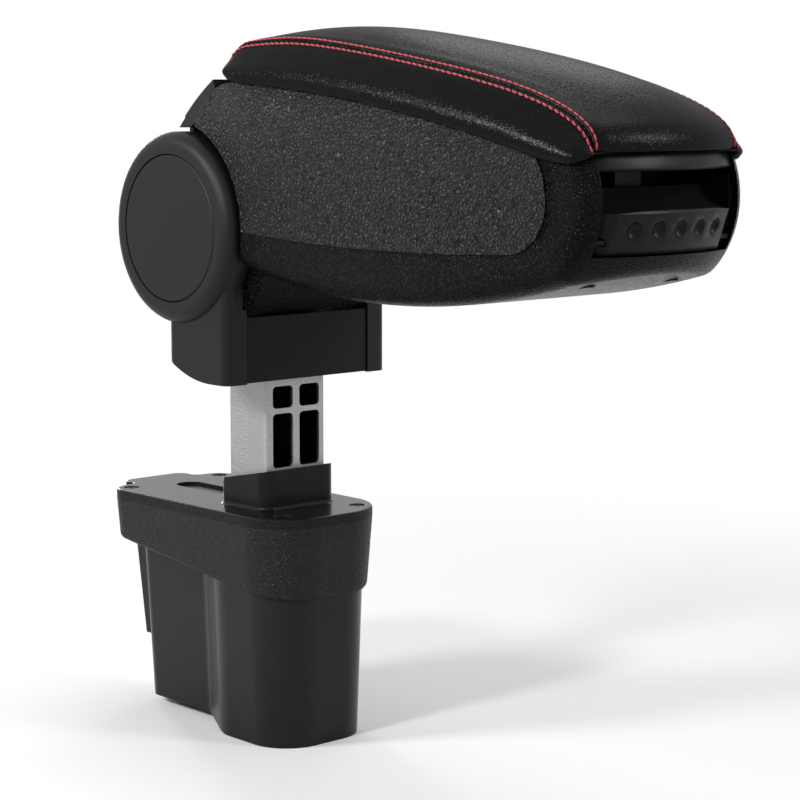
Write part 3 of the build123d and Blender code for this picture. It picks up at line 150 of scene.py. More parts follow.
def tint(tree, shader, height, dark, light, low=0.3, high=0.7):
    """Two near colours by a height from 0 to 1, the dark one where it is low and the light one
    where it is high; on a grain's relief this paints shade in the hollows and light on the tops.
    """
    blend = node(tree, "ValToRGB", links={"Fac": height})
    for element, place, colour in zip(blend.color_ramp.elements, (low, high), (dark, light)):
        element.position = place
        element.color = (*colour, 1.0)
    tree.links.new(blend.outputs["Color"], shader.inputs["Base Color"])
    return blend.outputs["Color"]


def mottle(tree, shader, where, dark, light, size):
    """Two near colours in soft patches, as pigment lies in a moulding."""
    return tint(tree, shader, speckle(tree, where, size), dark, light)


def lighter(colour, times):
    """The same colour, brighter or darker."""
    return tuple(channel * times for channel in colour)


def wear(material, *names, edge=0.0):
    """Put a material on CAD nodes, and break their sharp edges as a mould does."""
    for name in names:
        piece = frame["nodes"][name]
        piece.data.materials.clear()
        piece.data.materials.append(material)
        if edge:
            joined = piece.modifiers.new("joined", "WELD")
            joined.merge_threshold = same_point
            broken = piece.modifiers.new("broken_edge", "BEVEL")
            broken.limit_method = "ANGLE"
            broken.angle_limit = sharp_turn
            broken.width = edge
            broken.segments = 2
            broken.harden_normals = True


insert_moulding, tree, shader = finish(
    "insert_moulding", insert_black, cup_roughness, {"Specular IOR Level": 0.2}
)
where, (x, _, z) = spot(tree)
edge_rise = sums(tree, "MULTIPLY", sums(tree, "SUBTRACT", skirt_front_x, x), skirt_edge_slope)
edge_height = sums(tree, "ADD", edge_rise, skirt_edge_front)
on_skirt = ramp(tree, sums(tree, "SUBTRACT", z, edge_height), -0.6 * mm, 0.4 * mm)
mottle(tree, shader, where, insert_black, lighter(insert_black, 1.35), 14 * mm)
gloss = ramp(tree, on_skirt, 0.0, 1.0, cup_roughness, skirt_roughness)
tree.links.new(gloss, shader.inputs["Roughness"])
fine = emboss(tree, shader, speckle(tree, where, 5 * mm), 0.05 * mm, 0.25)
emboss(tree, shader, pebbles(tree, where, skirt_grain_cell), skirt_grain_depth, on_skirt, fine)
wear(insert_moulding, "insert_housing")

# Top plate: one moulding with the collar that takes the post.  Its rim carries the skirt's grain,
# its top and the collar are polished.  Four black countersunk screws hold it down.
plate_black = (0.006, 0.006, 0.0063)
plate_roughness = 0.24
plate_top = 116.0 * mm
plate_plastic, tree, shader = finish(
    "plate_plastic", plate_black, plate_roughness, {"Specular IOR Level": 0.12}
)
where, (_, _, z) = spot(tree)
normal = node(tree, "TexCoord").outputs["Normal"]
facing_up = node(tree, "SeparateXYZ", links={"Vector": normal}).outputs["Z"]
below_top = ramp(tree, z, plate_top + 0.1 * mm, plate_top - 0.1 * mm)
on_rim = sums(tree, "MULTIPLY", ramp(tree, facing_up, 0.85, 0.45), below_top)
mottle(tree, shader, where, plate_black, lighter(plate_black, 1.3), 12 * mm)
gloss = ramp(tree, on_rim, 0.0, 1.0, plate_roughness, skirt_roughness)
tree.links.new(gloss, shader.inputs["Roughness"])
fine = emboss(tree, shader, speckle(tree, where, 4 * mm), 0.06 * mm, 0.3)
emboss(tree, shader, pebbles(tree, where, skirt_grain_cell), skirt_grain_depth, on_rim, fine)
wear(plate_plastic, "top_plate")

# Screws, bolt, nut and pins: turned steel for the plate, the hinge, the arm's underside, the lid
# and the grip.  The hinge's bolt and nut are zinc-plated, and the rest is blacked.
steel_grey = (0.32, 0.32, 0.33)
screw_steel, tree, shader = finish("screw_steel", steel_grey, 0.34, {"Metallic": 1.0})
where, _ = spot(tree)
mottle(tree, shader, where, lighter(steel_grey, 0.7), steel_grey, 3 * mm)
emboss(tree, shader, speckle(tree, where, 0.5 * mm), 0.02 * mm, 0.5)
wear(screw_steel, "hinge_bolt", "hinge_nut")
black_oxide = (0.008, 0.008, 0.0085)
screw_black, tree, shader = finish("screw_black", black_oxide, 0.4, {"Metallic": 1.0})
where, _ = spot(tree)
mottle(tree, shader, where, lighter(black_oxide, 0.7), lighter(black_oxide, 1.3), 2 * mm)
emboss(tree, shader, speckle(tree, where, 0.5 * mm), 0.02 * mm, 0.5)
wear(screw_black, "plate_screws", "bottom_screws", "catch_pin", "lid_pin")

# Post: a bar of die-cast aluminium with lightening windows in its front.  The rear half of
# each side is milled across, the rest keeps its cast skin, and the windows' insides are painted
# near black as shade.
cast_light = (0.4, 0.4, 0.405)
cast_dark = (0.25, 0.25, 0.255)
painted_shade_colour = (0.012, 0.012, 0.013)
post_side = 19.0 * mm
post_front = 15.0 * mm
post_tip = 118.0 * mm
milled_end = 0.7 * mm  # front end of the milled half of each side
window_half = 16.0 * mm  # half the width over the windows
window_back = -14.0 * mm
window_foot = post_tip + 3.0 * mm
post_alloy, tree, shader = finish("post_alloy", cast_light, 0.5, {"Metallic": 0.9})
where, (x, y, z) = spot(tree)
across = sums(tree, "ABSOLUTE", y)
on_side = ramp(tree, across, post_side - 0.4 * mm, post_side - 0.1 * mm)
milled = sums(
    tree, "MULTIPLY", on_side, ramp(tree, x, milled_end + 0.5 * mm, milled_end - 0.5 * mm)
)
behind_front = ramp(tree, x, post_front - 0.5 * mm, post_front - 2.2 * mm)
before_back = ramp(tree, x, window_back - 0.5 * mm, window_back + 0.5 * mm)
between_sides = ramp(tree, across, window_half + 0.4 * mm, window_half - 0.4 * mm)
above_foot = ramp(tree, z, window_foot - 0.5 * mm, window_foot + 0.5 * mm)
in_window = sums(
    tree, "MULTIPLY",
    sums(tree, "MULTIPLY", behind_front, before_back),
    sums(tree, "MULTIPLY", between_sides, above_foot),
)
tone = tint(tree, shader, speckle(tree, where, 0.9 * mm, 5.0), cast_dark, cast_light, 0.2, 0.8)
# Painted shade: the insides of the windows get a near-black colour in place of the shade that falls
# there.
painted_window_shade = node(tree, "Mix", {7: (*painted_shade_colour, 1.0)}, {0: in_window, 6: tone}, data_type="RGBA")
tree.links.new(painted_window_shade.outputs[2], shader.inputs["Base Color"])
squeezed = node(tree, "Mapping", {"Scale": (0.06, 0.06, 1.0)}, {"Vector": where})
cutter_lines = speckle(tree, squeezed.outputs["Vector"], 0.55 * mm, 2.0)
cast_bump = emboss(tree, shader, speckle(tree, where, 0.5 * mm, 4.0), 0.08 * mm, 0.6)
emboss(tree, shader, cutter_lines, 0.3 * mm, milled, cast_bump)
wear(post_alloy, "post_casting")

# Hinge shells and caps: satin injected plastic, each shell one moulding of disc, neck and boot
# side.  The caps snap into the discs and hide the ends of the hinge bolt.
shell_black = (0.0062, 0.0062, 0.0065)
shell_plastic, tree, shader = finish(
    "shell_plastic", shell_black, 0.46, {"Specular IOR Level": 0.18}
)
where, _ = spot(tree)
mottle(tree, shader, where, shell_black, lighter(shell_black, 1.12), 25 * mm)
emboss(tree, shader, speckle(tree, where, 0.22 * mm, 2.0), 0.012 * mm, 0.6)
wear(
    shell_plastic, "right_hinge_shell", "left_hinge_shell", "right_hinge_cap", "left_hinge_cap",
    edge=0.5 * mm,
)

# Boot panels and core drums: the same plastic a shade darker.  The panels' tongues sit behind the
# rims of the shells, and the drums slide on the eye and close the hinge between the shells.
boot_black = (0.0055, 0.0055, 0.0058)
boot_plastic, tree, shader = finish("boot_plastic", boot_black, 0.45, {"Specular IOR Level": 0.12})
where, _ = spot(tree)
mottle(tree, shader, where, boot_black, lighter(boot_black, 1.2), 25 * mm)
emboss(tree, shader, speckle(tree, where, 0.25 * mm, 2.0), 0.012 * mm, 0.6)
wear(boot_plastic, "boot_front_panel", "boot_rear_panel", "right_core_drum", "left_core_drum")

# Arm brackets and friction washers: pressed steel plates from the hinge into the arm, with
# pale nylon rings that give the fold its drag.
bracket_steel, tree, shader = finish("bracket_steel", (0.28, 0.28, 0.29), 0.42, {"Metallic": 1.0})
where, _ = spot(tree)
mottle(tree, shader, where, (0.2, 0.2, 0.21), (0.31, 0.31, 0.32), 6 * mm)
emboss(tree, shader, speckle(tree, where, 0.6 * mm), 0.02 * mm, 0.5)
wear(bracket_steel, "right_arm_bracket", "left_arm_bracket")
nylon = (0.62, 0.6, 0.55)
washer_plastic, tree, shader = finish("washer_plastic", nylon, 0.5)
where, _ = spot(tree)
mottle(tree, shader, where, lighter(nylon, 0.9), nylon, 4 * mm)
wear(washer_plastic, "friction_washers")

# Side frames and lower shell: the arm's moulded body, black plastic with a fine leather grain all
# over.  Screws from below hold the shell to the brackets, the bin and the catch housing.
frame_black = (0.0008, 0.0008, 0.0009)
frame_tops_painted_light = (0.008, 0.008, 0.0082)
frame_cell = 1.4 * mm
frame_plastic, tree, shader = finish(
    "frame_plastic", frame_black, 0.26, {"Specular IOR Level": 0.06}
)
where, _ = spot(tree)
leathery = pebbles(tree, where, frame_cell, 0.34)
# Painted light: the base colour is darker in the grain's hollows and lighter on its tops, painted
# shade and painted highlight over the real grain.
grain_tone_and_painted_light = sums(tree, "MULTIPLY", leathery, speckle(tree, where, 3 * mm))
tint(tree, shader, grain_tone_and_painted_light, frame_black, frame_tops_painted_light, 0.28, 0.58)
fine = emboss(tree, shader, speckle(tree, where, 0.45 * mm), 0.03 * mm, 0.5)
emboss(tree, shader, leathery, 0.3 * mm, 0.9, fine)
wear(frame_plastic, "right_side_frame", "left_side_frame", edge=0.6 * mm)
wear(frame_plastic, "lower_shell")

# Side panels: moulded inlays, set in the rebates of the frames.  Their grain is coarser and harder
# than the frames' and glints; its tops are painted light as glints and its hollows painted dark as
# shade.
panel_black = (0.004, 0.004, 0.0041)
panel_tops_painted_glint = (0.042, 0.042, 0.043)
panel_cell = 1.75 * mm
panel_plastic, tree, shader = finish(
    "panel_plastic", panel_black, 0.2, {"Specular IOR Level": 0.12}
)
where, _ = spot(tree)
coarse = pebbles(tree, where, panel_cell, 0.42, 0.9)
# Painted light: the base colour is near black in the grain's hollows and much lighter on its tops,
# painted shade and painted glints over the real grain.
tint(tree, shader, coarse, panel_black, panel_tops_painted_glint, 0.15, 0.85)
fine = emboss(tree, shader, speckle(tree, where, 0.5 * mm, 4.0), 0.04 * mm, 0.6)
emboss(tree, shader, coarse, 0.5 * mm, 0.9, fine)
wear(panel_plastic, "right_side_panel", "left_side_panel", edge=0.9 * mm)

# Rear cover: a smooth satin moulding behind the lid, between the frames.  It also carries the
# lugs of the lid's hinge.
cover_black = (0.009, 0.009, 0.0093)
cover_plastic, tree, shader = finish(
    "cover_plastic", cover_black, 0.42, {"Specular IOR Level": 0.18}
)
where, _ = spot(tree)
mottle(tree, shader, where, cover_black, lighter(cover_black, 1.2), 20 * mm)
emboss(tree, shader, speckle(tree, where, 0.3 * mm, 2.0), 0.015 * mm, 0.6)
wear(cover_plastic, "rear_cover")

# Storage bin and catch housing: plain black mouldings inside the arm.  They show when the lid is
# open, and behind the grip.
bin_black = (0.0045, 0.0045, 0.0047)
bin_plastic, tree, shader = finish("bin_plastic", bin_black, 0.45, {"Specular IOR Level": 0.12})
where, _ = spot(tree)
mottle(tree, shader, where, bin_black, lighter(bin_black, 1.3), 15 * mm)
emboss(tree, shader, speckle(tree, where, 0.5 * mm, 3.0), 0.03 * mm, 0.6)
wear(bin_plastic, "storage_bin", "catch_housing")

# Release grip and lid pan: satin mouldings, the grip with a finger scoop along its top and five
# round dimples, the pan with the bar over the grip.
grip_black = (0.007, 0.007, 0.0073)
grip_plastic, tree, shader = finish("grip_plastic", grip_black, 0.34, {"Specular IOR Level": 0.12})
where, _ = spot(tree)
mottle(tree, shader, where, grip_black, lighter(grip_black, 1.15), 18 * mm)
emboss(tree, shader, speckle(tree, where, 0.3 * mm, 2.0), 0.012 * mm, 0.6)
wear(grip_plastic, "release_grip", "lid_pan", edge=0.8 * mm)

# Lid cushion: firm moulded foam under a leatherette cover of three sewn pieces, a top and two
# side bolsters.  The cover is cut a little small, so the foam swells it between its seams.
hinge = Vector(next(j for j in frame["joints"] if j["name"] == "arm_fold")["pos_m"])
deck_start, deck_end = 45.0, 272.0  # rear and front end of the sides' top edge, ahead of the hinge
deck_rear, deck_front, deck_bow = 70.0, 39.5, 5.8
cushion_lift = 1.2  # cushion above the sides' top edge
cushion_middle = 150.0  # between its rear and front halves
seam_half = 44.0
cushion_rows = 360
bolster_bulge = 3.4
bolster_full = 15.0  # width from which a bolster has its full bulge
bolster_reach = 0.5  # share of the bulge that turns to the ends where a bolster is narrower
bolster_rise = 0.1  # share of it that goes up
bolster_low = 1.8  # power that puts the fullest place below the bolster's middle
crown_fullness = 0.85
# Along the seam and along the middle: ahead of the hinge axis and above it
seam_guide = (
    (42.0, 75.8), (37.8, 76.8), (36.2, 80.0), (39.6, 85.0), (51.4, 88.0), (80.0, 88.7),
    (113.5, 85.8), (150.5, 80.6), (184.5, 75.0), (214.0, 69.4), (234.0, 64.4), (250.0, 58.8),
    (260.0, 53.6), (265.2, 49.0), (267.2, 45.0), (267.4, 41.6),
)
crown_guide = (
    (40.5, 75.8), (37.0, 77.4), (36.6, 82.5), (40.0, 89.2), (51.4, 93.6), (80.0, 95.6),
    (113.5, 93.7), (150.5, 88.9), (186.0, 83.2), (218.0, 76.4), (240.0, 69.8), (258.0, 62.4),
    (269.0, 56.2), (275.2, 50.8), (277.6, 46.0), (277.8, 41.6),
)
# Along the bolster's hem: ahead of the hinge axis, out from the middle and how far it hangs down
hem_guide = (
    (42.5, 44.0, -4.6), (41.2, 49.2, -3.8), (42.2, 52.6, -1.6), (47.4, 54.3, 0.8),
    (59.0, 54.6, 1.7), (82.0, 54.8, 2.2), (113.5, 55.1, 2.8), (150.5, 55.1, 3.7),
    (184.5, 54.9, 4.9), (212.0, 54.4, 6.0), (232.0, 53.8, 7.0), (246.0, 53.3, 7.7),
    (256.0, 52.4, 7.4), (263.0, 51.2, 6.0), (267.2, 48.0, 3.4), (269.8, 44.5, 0.8),
)
hem_thickness = 1.2
heel_end, heel_lift = 46.5, 4.6  # behind there the underside steps up over the lid's knuckles
seam_steps = (0.35, 0.7, 1.05, 1.4, 1.8, 2.2, 2.6, 3.0, 3.6, 4.5)  # columns beside the seam
top_squeeze, side_squeeze = 20.0, 9.0  # widths under which those columns draw together
top_columns, side_columns, under_columns = 30, 16, 7
line_samples, top_samples, side_samples = 4000, 90, 60  # along the seam and across the cover
stitch_row = 1.85  # each row of stitches from the seam
stitch_pitch = 3.6
foam_pressure = 4.0
foam_frames = 20
foam_rows, foam_column_step = 80, 3  # of the coarse sheet that is simulated
swell_limit = 2.2


def deck(x):
    """Height of the sides' top edge above the hinge axis."""
    middle, span = (deck_end + deck_start) / 2, (deck_end - deck_start) / 2
    straight = deck_rear + (deck_front - deck_rear) * (x - deck_start) / (2 * span)
    return straight + deck_bow * (1 - ((x - middle) / span) ** 2)


def through(points, knots, places):
    """Natural cubic spline through points at their knots, read at other places."""
    span = np.diff(knots)
    slope = np.diff(points, axis=0) / span[:, None]
    system = np.eye(len(knots))
    turn = np.zeros_like(points)
    for i in range(1, len(knots) - 1):
        system[i, i - 1 : i + 2] = span[i - 1], 2 * (span[i - 1] + span[i]), span[i]
        turn[i] = 6 * (slope[i] - slope[i - 1])
    bend = np.linalg.solve(system, turn)
    k = np.clip(np.searchsorted(knots, places) - 1, 0, len(knots) - 2)
    ahead, behind = (knots[k + 1] - places)[:, None], (places - knots[k])[:, None]
    gap = span[k][:, None]
    curve = (bend[k] * ahead**3 + bend[k + 1] * behind**3) / (6 * gap)
    curve += (points[k] / gap - bend[k] * gap / 6) * ahead
    return curve + (points[k + 1] / gap - bend[k + 1] * gap / 6) * behind


def run_length(points):
    """Distance along a polyline at each of its points."""
    return np.concatenate([[0.0], np.cumsum(np.linalg.norm(np.diff(points, axis=0), axis=1))])


def along(points, distances):
    """Places at those distances along a polyline."""
    travel = run_length(points)
    return np.stack([np.interp(distances, travel, points[:, axis]) for axis in range(3)], axis=1)


seam_points = np.array([(ahead, seam_half, above) for ahead, above in seam_guide])
crown_points = np.array([(ahead, 0.0, above) for ahead, above in crown_guide])
edge_points = np.array(
    [(ahead, beside, deck(ahead) + cushion_lift - hang) for ahead, beside, hang in hem_guide]
)
knots = run_length(seam_points)
dense = np.linspace(0, knots[-1], line_samples)
run = run_length(through(seam_points, knots, dense))
places = np.interp(np.linspace(0, run[-1], cushion_rows), run, dense)
seam_line, crown_line, edge_line = (
    through(points, knots, places) for points in (seam_points, crown_points, edge_points)
)

half_grid, seam_distance = [], []
for seam, crown, edge in zip(seam_line, crown_line, edge_line):
    from_crown = np.linspace(1, 0, top_samples)[:, None]
    lift = (1 - from_crown**2) ** crown_fullness
    rise = seam + (crown - seam) * lift
    over = np.concatenate([rise[:, :1], seam_half * from_crown, rise[:, 2:]], axis=1)
    from_seam = np.linspace(0, 1, side_samples)[:, None]
    wide = np.linalg.norm(edge - seam)
    share = min(1.0, wide / bolster_full)
    endwards = bolster_reach * np.sign(seam[0] - cushion_middle) * (1 - share)
    out = np.array((endwards, share, bolster_rise * share)) * bolster_bulge
    down = seam + (edge - seam) * from_seam + out * np.sin(pi * from_seam**bolster_low)
    top_width, side_width = run_length(over)[-1], run_length(down)[-1]
    top_near = np.array(seam_steps) * min(1.0, top_width / top_squeeze)
    side_near = np.array(seam_steps) * min(1.0, side_width / side_squeeze)
    top_far = np.linspace(top_near[-1], top_width, top_columns + 1)[1:]
    side_far = np.linspace(side_near[-1], side_width, side_columns + 1)[1:]
    top_at = np.concatenate([top_far[::-1], top_near[::-1]])
    side_at = np.concatenate([[0.0], side_near, side_far])
    half_grid.append(np.concatenate([along(over, top_at), along(down, side_at)]))
    seam_distance.append(np.concatenate([-top_at, side_at]))
half_grid, seam_distance = np.array(half_grid), np.array(seam_distance)
seam_column = top_columns + len(seam_steps)


def both_sides(half):
    """Whole cover from its left half."""
    return np.concatenate([half[:, :0:-1] * np.array((1, -1, 1)), half], axis=1)


def swollen(sheet, sewn):
    """How far the foam's pressure moves a cover held where it is sewn, by cloth simulation."""
    scene = bpy.context.scene
    index = np.arange(sheet.shape[0] * sheet.shape[1]).reshape(sheet.shape[:2])
    quads = np.stack([index[:-1, :-1], index[1:, :-1], index[1:, 1:], index[:-1, 1:]], axis=2)
    mesh = bpy.data.meshes.new("cover_sheet")
    mesh.from_pydata((sheet.reshape(-1, 3) * mm).tolist(), [], quads.reshape(-1, 4).tolist())
    cover = bpy.data.objects.new("cover_sheet", mesh)
    scene.collection.objects.link(cover)
    cover.vertex_groups.new(name="sewn").add(index[sewn].tolist(), 1.0, "REPLACE")
    cloth = cover.modifiers.new("foam", "CLOTH")
    cloth.settings.use_pressure = True
    cloth.settings.uniform_pressure_force = foam_pressure
    cloth.settings.effector_weights.gravity = 0.0
    cloth.settings.vertex_group_mass = "sewn"
    for number in range(1, foam_frames + 1):
        scene.frame_set(number)
    after = cover.evaluated_get(bpy.context.evaluated_depsgraph_get()).to_mesh()
    reached = np.array([vertex.co for vertex in after.vertices]).reshape(sheet.shape) / mm
    moved = reached - sheet
    scene.frame_set(1)
    bpy.data.objects.remove(cover)
    far = np.linalg.norm(moved, axis=2, keepdims=True)
    return moved * np.minimum(1.0, swell_limit / np.maximum(far, 1e-6))


def spread(coarse, at, count, axis, reach):
    """Values at some rows or columns, filled in between and smoothed along them."""
    even = np.full(2 * reach + 1, 1 / (2 * reach + 1))

    def fill(line):
        full = np.interp(np.arange(count), at, line)
        return np.convolve(np.pad(full, reach, mode="edge"), even, mode="valid")

    return np.apply_along_axis(fill, axis, coarse)


half_columns = half_grid.shape[1]
some_rows = np.unique(np.linspace(0, cushion_rows - 1, foam_rows).astype(int))
some_columns = np.unique(
    np.append(np.arange(0, half_columns, foam_column_step), [seam_column, half_columns - 1])
)
coarse_sheet = both_sides(half_grid[some_rows][:, some_columns])
columns = coarse_sheet.shape[1]
from_middle = np.abs(np.arange(columns) - columns // 2)
held = np.isin(from_middle, [list(some_columns).index(seam_column), columns // 2])
sewn_points = np.broadcast_to(held, coarse_sheet.shape[:2]).copy()
sewn_points[[0, -1]] = True
swell = swollen(coarse_sheet, sewn_points)[:, columns // 2 :]
swell = spread(swell, some_columns, half_columns, axis=1, reach=2)
half_grid = half_grid + spread(swell, some_rows, cushion_rows, axis=0, reach=9)


def ridge(away, height, place, width):
    """A rounded ridge or furrow along the seam."""
    return height * np.exp(-(((away - place) / width) ** 2))


def relief(distance, stretch):
    """Height of the cover near the seam: a valley, two folded edges and the stitches' dents."""
    away = np.abs(distance)
    valley = ridge(away, height=-0.95, place=0.0, width=0.55)
    folded = ridge(away, height=0.42, place=1.1, width=0.6)
    pulled = 0.6 + 0.4 * np.cos(2 * pi * stretch / stitch_pitch)
    dents = ridge(away, height=-0.3, place=stitch_row, width=0.5) * pulled
    padded = ridge(away, height=0.35, place=6.0, width=3.0)
    return valley + folded + dents + padded


def outward(grid):
    """Unit normals of the left half of the cover."""
    normal = np.cross(np.gradient(grid, axis=0), np.gradient(grid, axis=1))
    return normal / np.maximum(np.linalg.norm(normal, axis=2, keepdims=True), 1e-9)


relief_fade = 4.0  # length over which the relief ends at the cover's ends
travel = np.linspace(0, run[-1], cushion_rows)[:, None]
fade = np.clip(np.minimum(travel, run[-1] - travel) / relief_fade, 0, 1)
cover_half = half_grid + outward(half_grid) * (relief(seam_distance, travel) * fade)[:, :, None]
# The hem turns in under the bolster, and the underside lies flat on the pan between the two hems
forward = np.gradient(edge_line[:, :2], axis=0)
inward = np.stack([forward[:, 1], -forward[:, 0]], axis=1)
inward /= np.linalg.norm(forward, axis=1)[:, None]
turned_in = cover_half[:, -1].copy()
turned_in[:, :2] += hem_thickness * inward
pan_side = turned_in.copy()
pan_side[:, 2] = [
    deck(ahead) + cushion_lift + (0.0 if ahead > heel_end else heel_lift)
    for ahead in edge_line[:, 0]
]
cover_grid = both_sides(
    np.concatenate([cover_half, turned_in[:, None], pan_side[:, None]], axis=1)
)
under_shares = np.linspace(0, 1, under_columns + 2)[1:-1, None]
under_grid = np.array([row[-1] + (row[0] - row[-1]) * under_shares for row in cover_grid])
ring = np.concatenate([cover_grid, under_grid], axis=1)
width = ring.shape[1]
vertices = ring.reshape(-1, 3) * mm + np.array((hinge.x, 0.0, hinge.z))
faces = []
for row in range(cushion_rows - 1):
    for column in range(width):
        beside = (column + 1) % width
        first, ahead = row * width, (row + 1) * width
        faces.append((first + column, first + beside, ahead + beside, ahead + column))
faces.append(tuple(range(width)))
faces.append(tuple((cushion_rows - 1) * width + column for column in reversed(range(width))))


def solid(name, vertices, faces, material):
    """A closed smooth mesh at the origin, its doubles merged and its faces turned outwards."""
    mesh = bpy.data.meshes.new(name)
    mesh.from_pydata([tuple(vertex) for vertex in vertices], [], faces)
    made = bpy.data.objects.new(name, mesh)
    bpy.context.scene.collection.objects.link(made)
    work = bmesh.new()
    work.from_mesh(mesh)
    bmesh.ops.remove_doubles(work, verts=work.verts, dist=0.01 * mm)
    bmesh.ops.recalc_face_normals(work, faces=work.faces)
    work.to_mesh(mesh)
    work.free()
    mesh.polygons.foreach_set("use_smooth", [True] * len(mesh.polygons))
    mesh.materials.append(material)
    return made


leather_black = (0.0022, 0.0022, 0.0023)
leather_tops_painted_light = (0.0062, 0.0062, 0.0064)
leather_cell = 1.2 * mm
cover_leather, tree, shader = finish(
    "cover_leather", leather_black, 0.33,
    {"Specular IOR Level": 0.0, "Coat Weight": 0.19, "Coat Roughness": 0.17},
)
where, _ = spot(tree)
hide = pebbles(tree, where, leather_cell, 0.36, 0.7)
# Painted light: the base colour is darker in the grain's hollows and lighter on its tops, painted
# shade and painted highlight over the real grain.
grain_tone_and_painted_light = sums(tree, "MULTIPLY", hide, speckle(tree, where, 9 * mm))
tint(tree, shader, grain_tone_and_painted_light, leather_black, leather_tops_painted_light, 0.25, 0.55)
creases = emboss(tree, shader, speckle(tree, where, 6 * mm, 2.0), 0.25 * mm, 0.35)
emboss(tree, shader, hide, 0.16 * mm, 0.9, creases)
polished = node(tree, "Bump", {"Strength": 0.9, "Distance": 0.065 * mm}, {"Height": hide})
tree.links.new(polished.outputs["Normal"], shader.inputs["Coat Normal"])
cushion_cover = solid("cushion_cover", vertices, faces, cover_leather)
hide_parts("lid_cushion")
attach(cushion_cover, "lid")

# Seam stitches: two rows of red polyester thread, one each side of both seams, sewn through the
# cover.  Each stitch is a short bead of thread that leans a little across its row.
thread_red = (0.5, 0.016, 0.03)
thread_width = 0.95 * mm
stitch_length = 3.6 * mm
stitch_slant = radians(7)
thread_lift = 0.3
bare_start, bare_end = 8, 3  # rows of the cover without stitches at its rear and front end
seam_thread, tree, shader = finish("seam_thread", thread_red, 0.55, {"Sheen Weight": 0.3})
where, _ = spot(tree)
mottle(tree, shader, where, lighter(thread_red, 0.6), lighter(thread_red, 1.15), 0.6 * mm)
emboss(tree, shader, speckle(tree, where, 0.25 * mm), 0.05 * mm, 0.8)

row_points, row_edges = [], []
cover_normals = outward(cover_half)
for offset in (-stitch_row, stitch_row):
    line = []
    for row in range(bare_start, cushion_rows - bare_end):
        at = seam_distance[row]
        lane = [np.interp(offset, at, cover_half[row, :, axis]) for axis in range(3)]
        rise = [np.interp(offset, at, cover_normals[row, :, axis]) for axis in range(3)]
        line.append(np.array(lane) + thread_lift * np.array(rise))
    for side in (1, -1):
        first = len(row_points)
        placed = np.array(line) * (1, side, 1) * mm + np.array((hinge.x, 0.0, hinge.z))
        row_points += [tuple(point) for point in placed]
        row_edges += [(first + k, first + k + 1) for k in range(len(line) - 1)]

stitch_tree = bpy.data.node_groups.new("stitch_rows", "GeometryNodeTree")
sockets = stitch_tree.interface
sockets.new_socket("Geometry", in_out="INPUT", socket_type="NodeSocketGeometry")
sizes = {
    "Pitch": stitch_pitch * mm,
    "Length": stitch_length,
    "Thread": thread_width,
    "Slant": stitch_slant,
}
values_by_key = {}
for name, value in sizes.items():
    socket = sockets.new_socket(name, in_out="INPUT", socket_type="NodeSocketFloat")
    values_by_key[socket.identifier] = value
sockets.new_socket("Geometry", in_out="OUTPUT", socket_type="NodeSocketGeometry")


def stitch_node(kind, links=None, values=None, **options):
    """Add a node to the stitches' tree."""
    made = stitch_tree.nodes.new(kind)
    for option, value in options.items():
        setattr(made, option, value)
    for socket, value in (values or {}).items():
        made.inputs[socket].default_value = value
    for socket, source in (links or {}).items():
        stitch_tree.links.new(source, made.inputs[socket])
    return made


given = stitch_node("NodeGroupInput").outputs
lines = stitch_node("GeometryNodeMeshToCurve", {"Mesh": given["Geometry"]})
marks = stitch_node(
    "GeometryNodeCurveToPoints",
    {"Curve": lines.outputs[0], "Length": given["Pitch"]}, mode="LENGTH",
)
bead = stitch_node("GeometryNodeMeshUVSphere", None, {"Segments": 8, "Rings": 6, "Radius": 0.5})
shape = stitch_node(
    "ShaderNodeCombineXYZ", {"X": given["Thread"], "Y": given["Thread"], "Z": given["Length"]}
)
thread = stitch_node(
    "GeometryNodeTransform", {"Geometry": bead.outputs["Mesh"], "Scale": shape.outputs[0]}
)
stitches = stitch_node(
    "GeometryNodeInstanceOnPoints",
    {
        "Points": marks.outputs["Points"],
        "Instance": thread.outputs[0],
        "Rotation": marks.outputs["Rotation"],
    },
)
lean = stitch_node("ShaderNodeCombineXYZ", {"X": given["Slant"]})
leaning = stitch_node(
    "GeometryNodeRotateInstances", {"Instances": stitches.outputs[0], "Rotation": lean.outputs[0]}
)
real = stitch_node("GeometryNodeRealizeInstances", {"Geometry": leaning.outputs[0]})
smooth = stitch_node("GeometryNodeSetShadeSmooth", {"Geometry": real.outputs[0]})
dyed = stitch_node(
    "GeometryNodeSetMaterial", {"Geometry": smooth.outputs[0]}, {"Material": seam_thread}
)
stitch_node("NodeGroupOutput", {"Geometry": dyed.outputs[0]})


def grown(name, points, edges, group, values):
    """Plain mesh that a Geometry Nodes tree grows on lines."""
    mesh = bpy.data.meshes.new(name + "_lines")
    mesh.from_pydata(points, edges, [])
    carrier = bpy.data.objects.new(name + "_lines", mesh)
    bpy.context.scene.collection.objects.link(carrier)
    modifier = carrier.modifiers.new("grow", "NODES")
    modifier.node_group = group
    for key, value in values.items():
        modifier[key] = value
    graph = bpy.context.evaluated_depsgraph_get()
    result = bpy.data.meshes.new_from_object(carrier.evaluated_get(graph))
    bpy.data.objects.remove(carrier)
    made = bpy.data.objects.new(name, result)
    bpy.context.scene.collection.objects.link(made)
    return made


seam_stitches = grown("seam_stitches", row_points, row_edges, stitch_tree, values_by_key)
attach(seam_stitches, "lid")

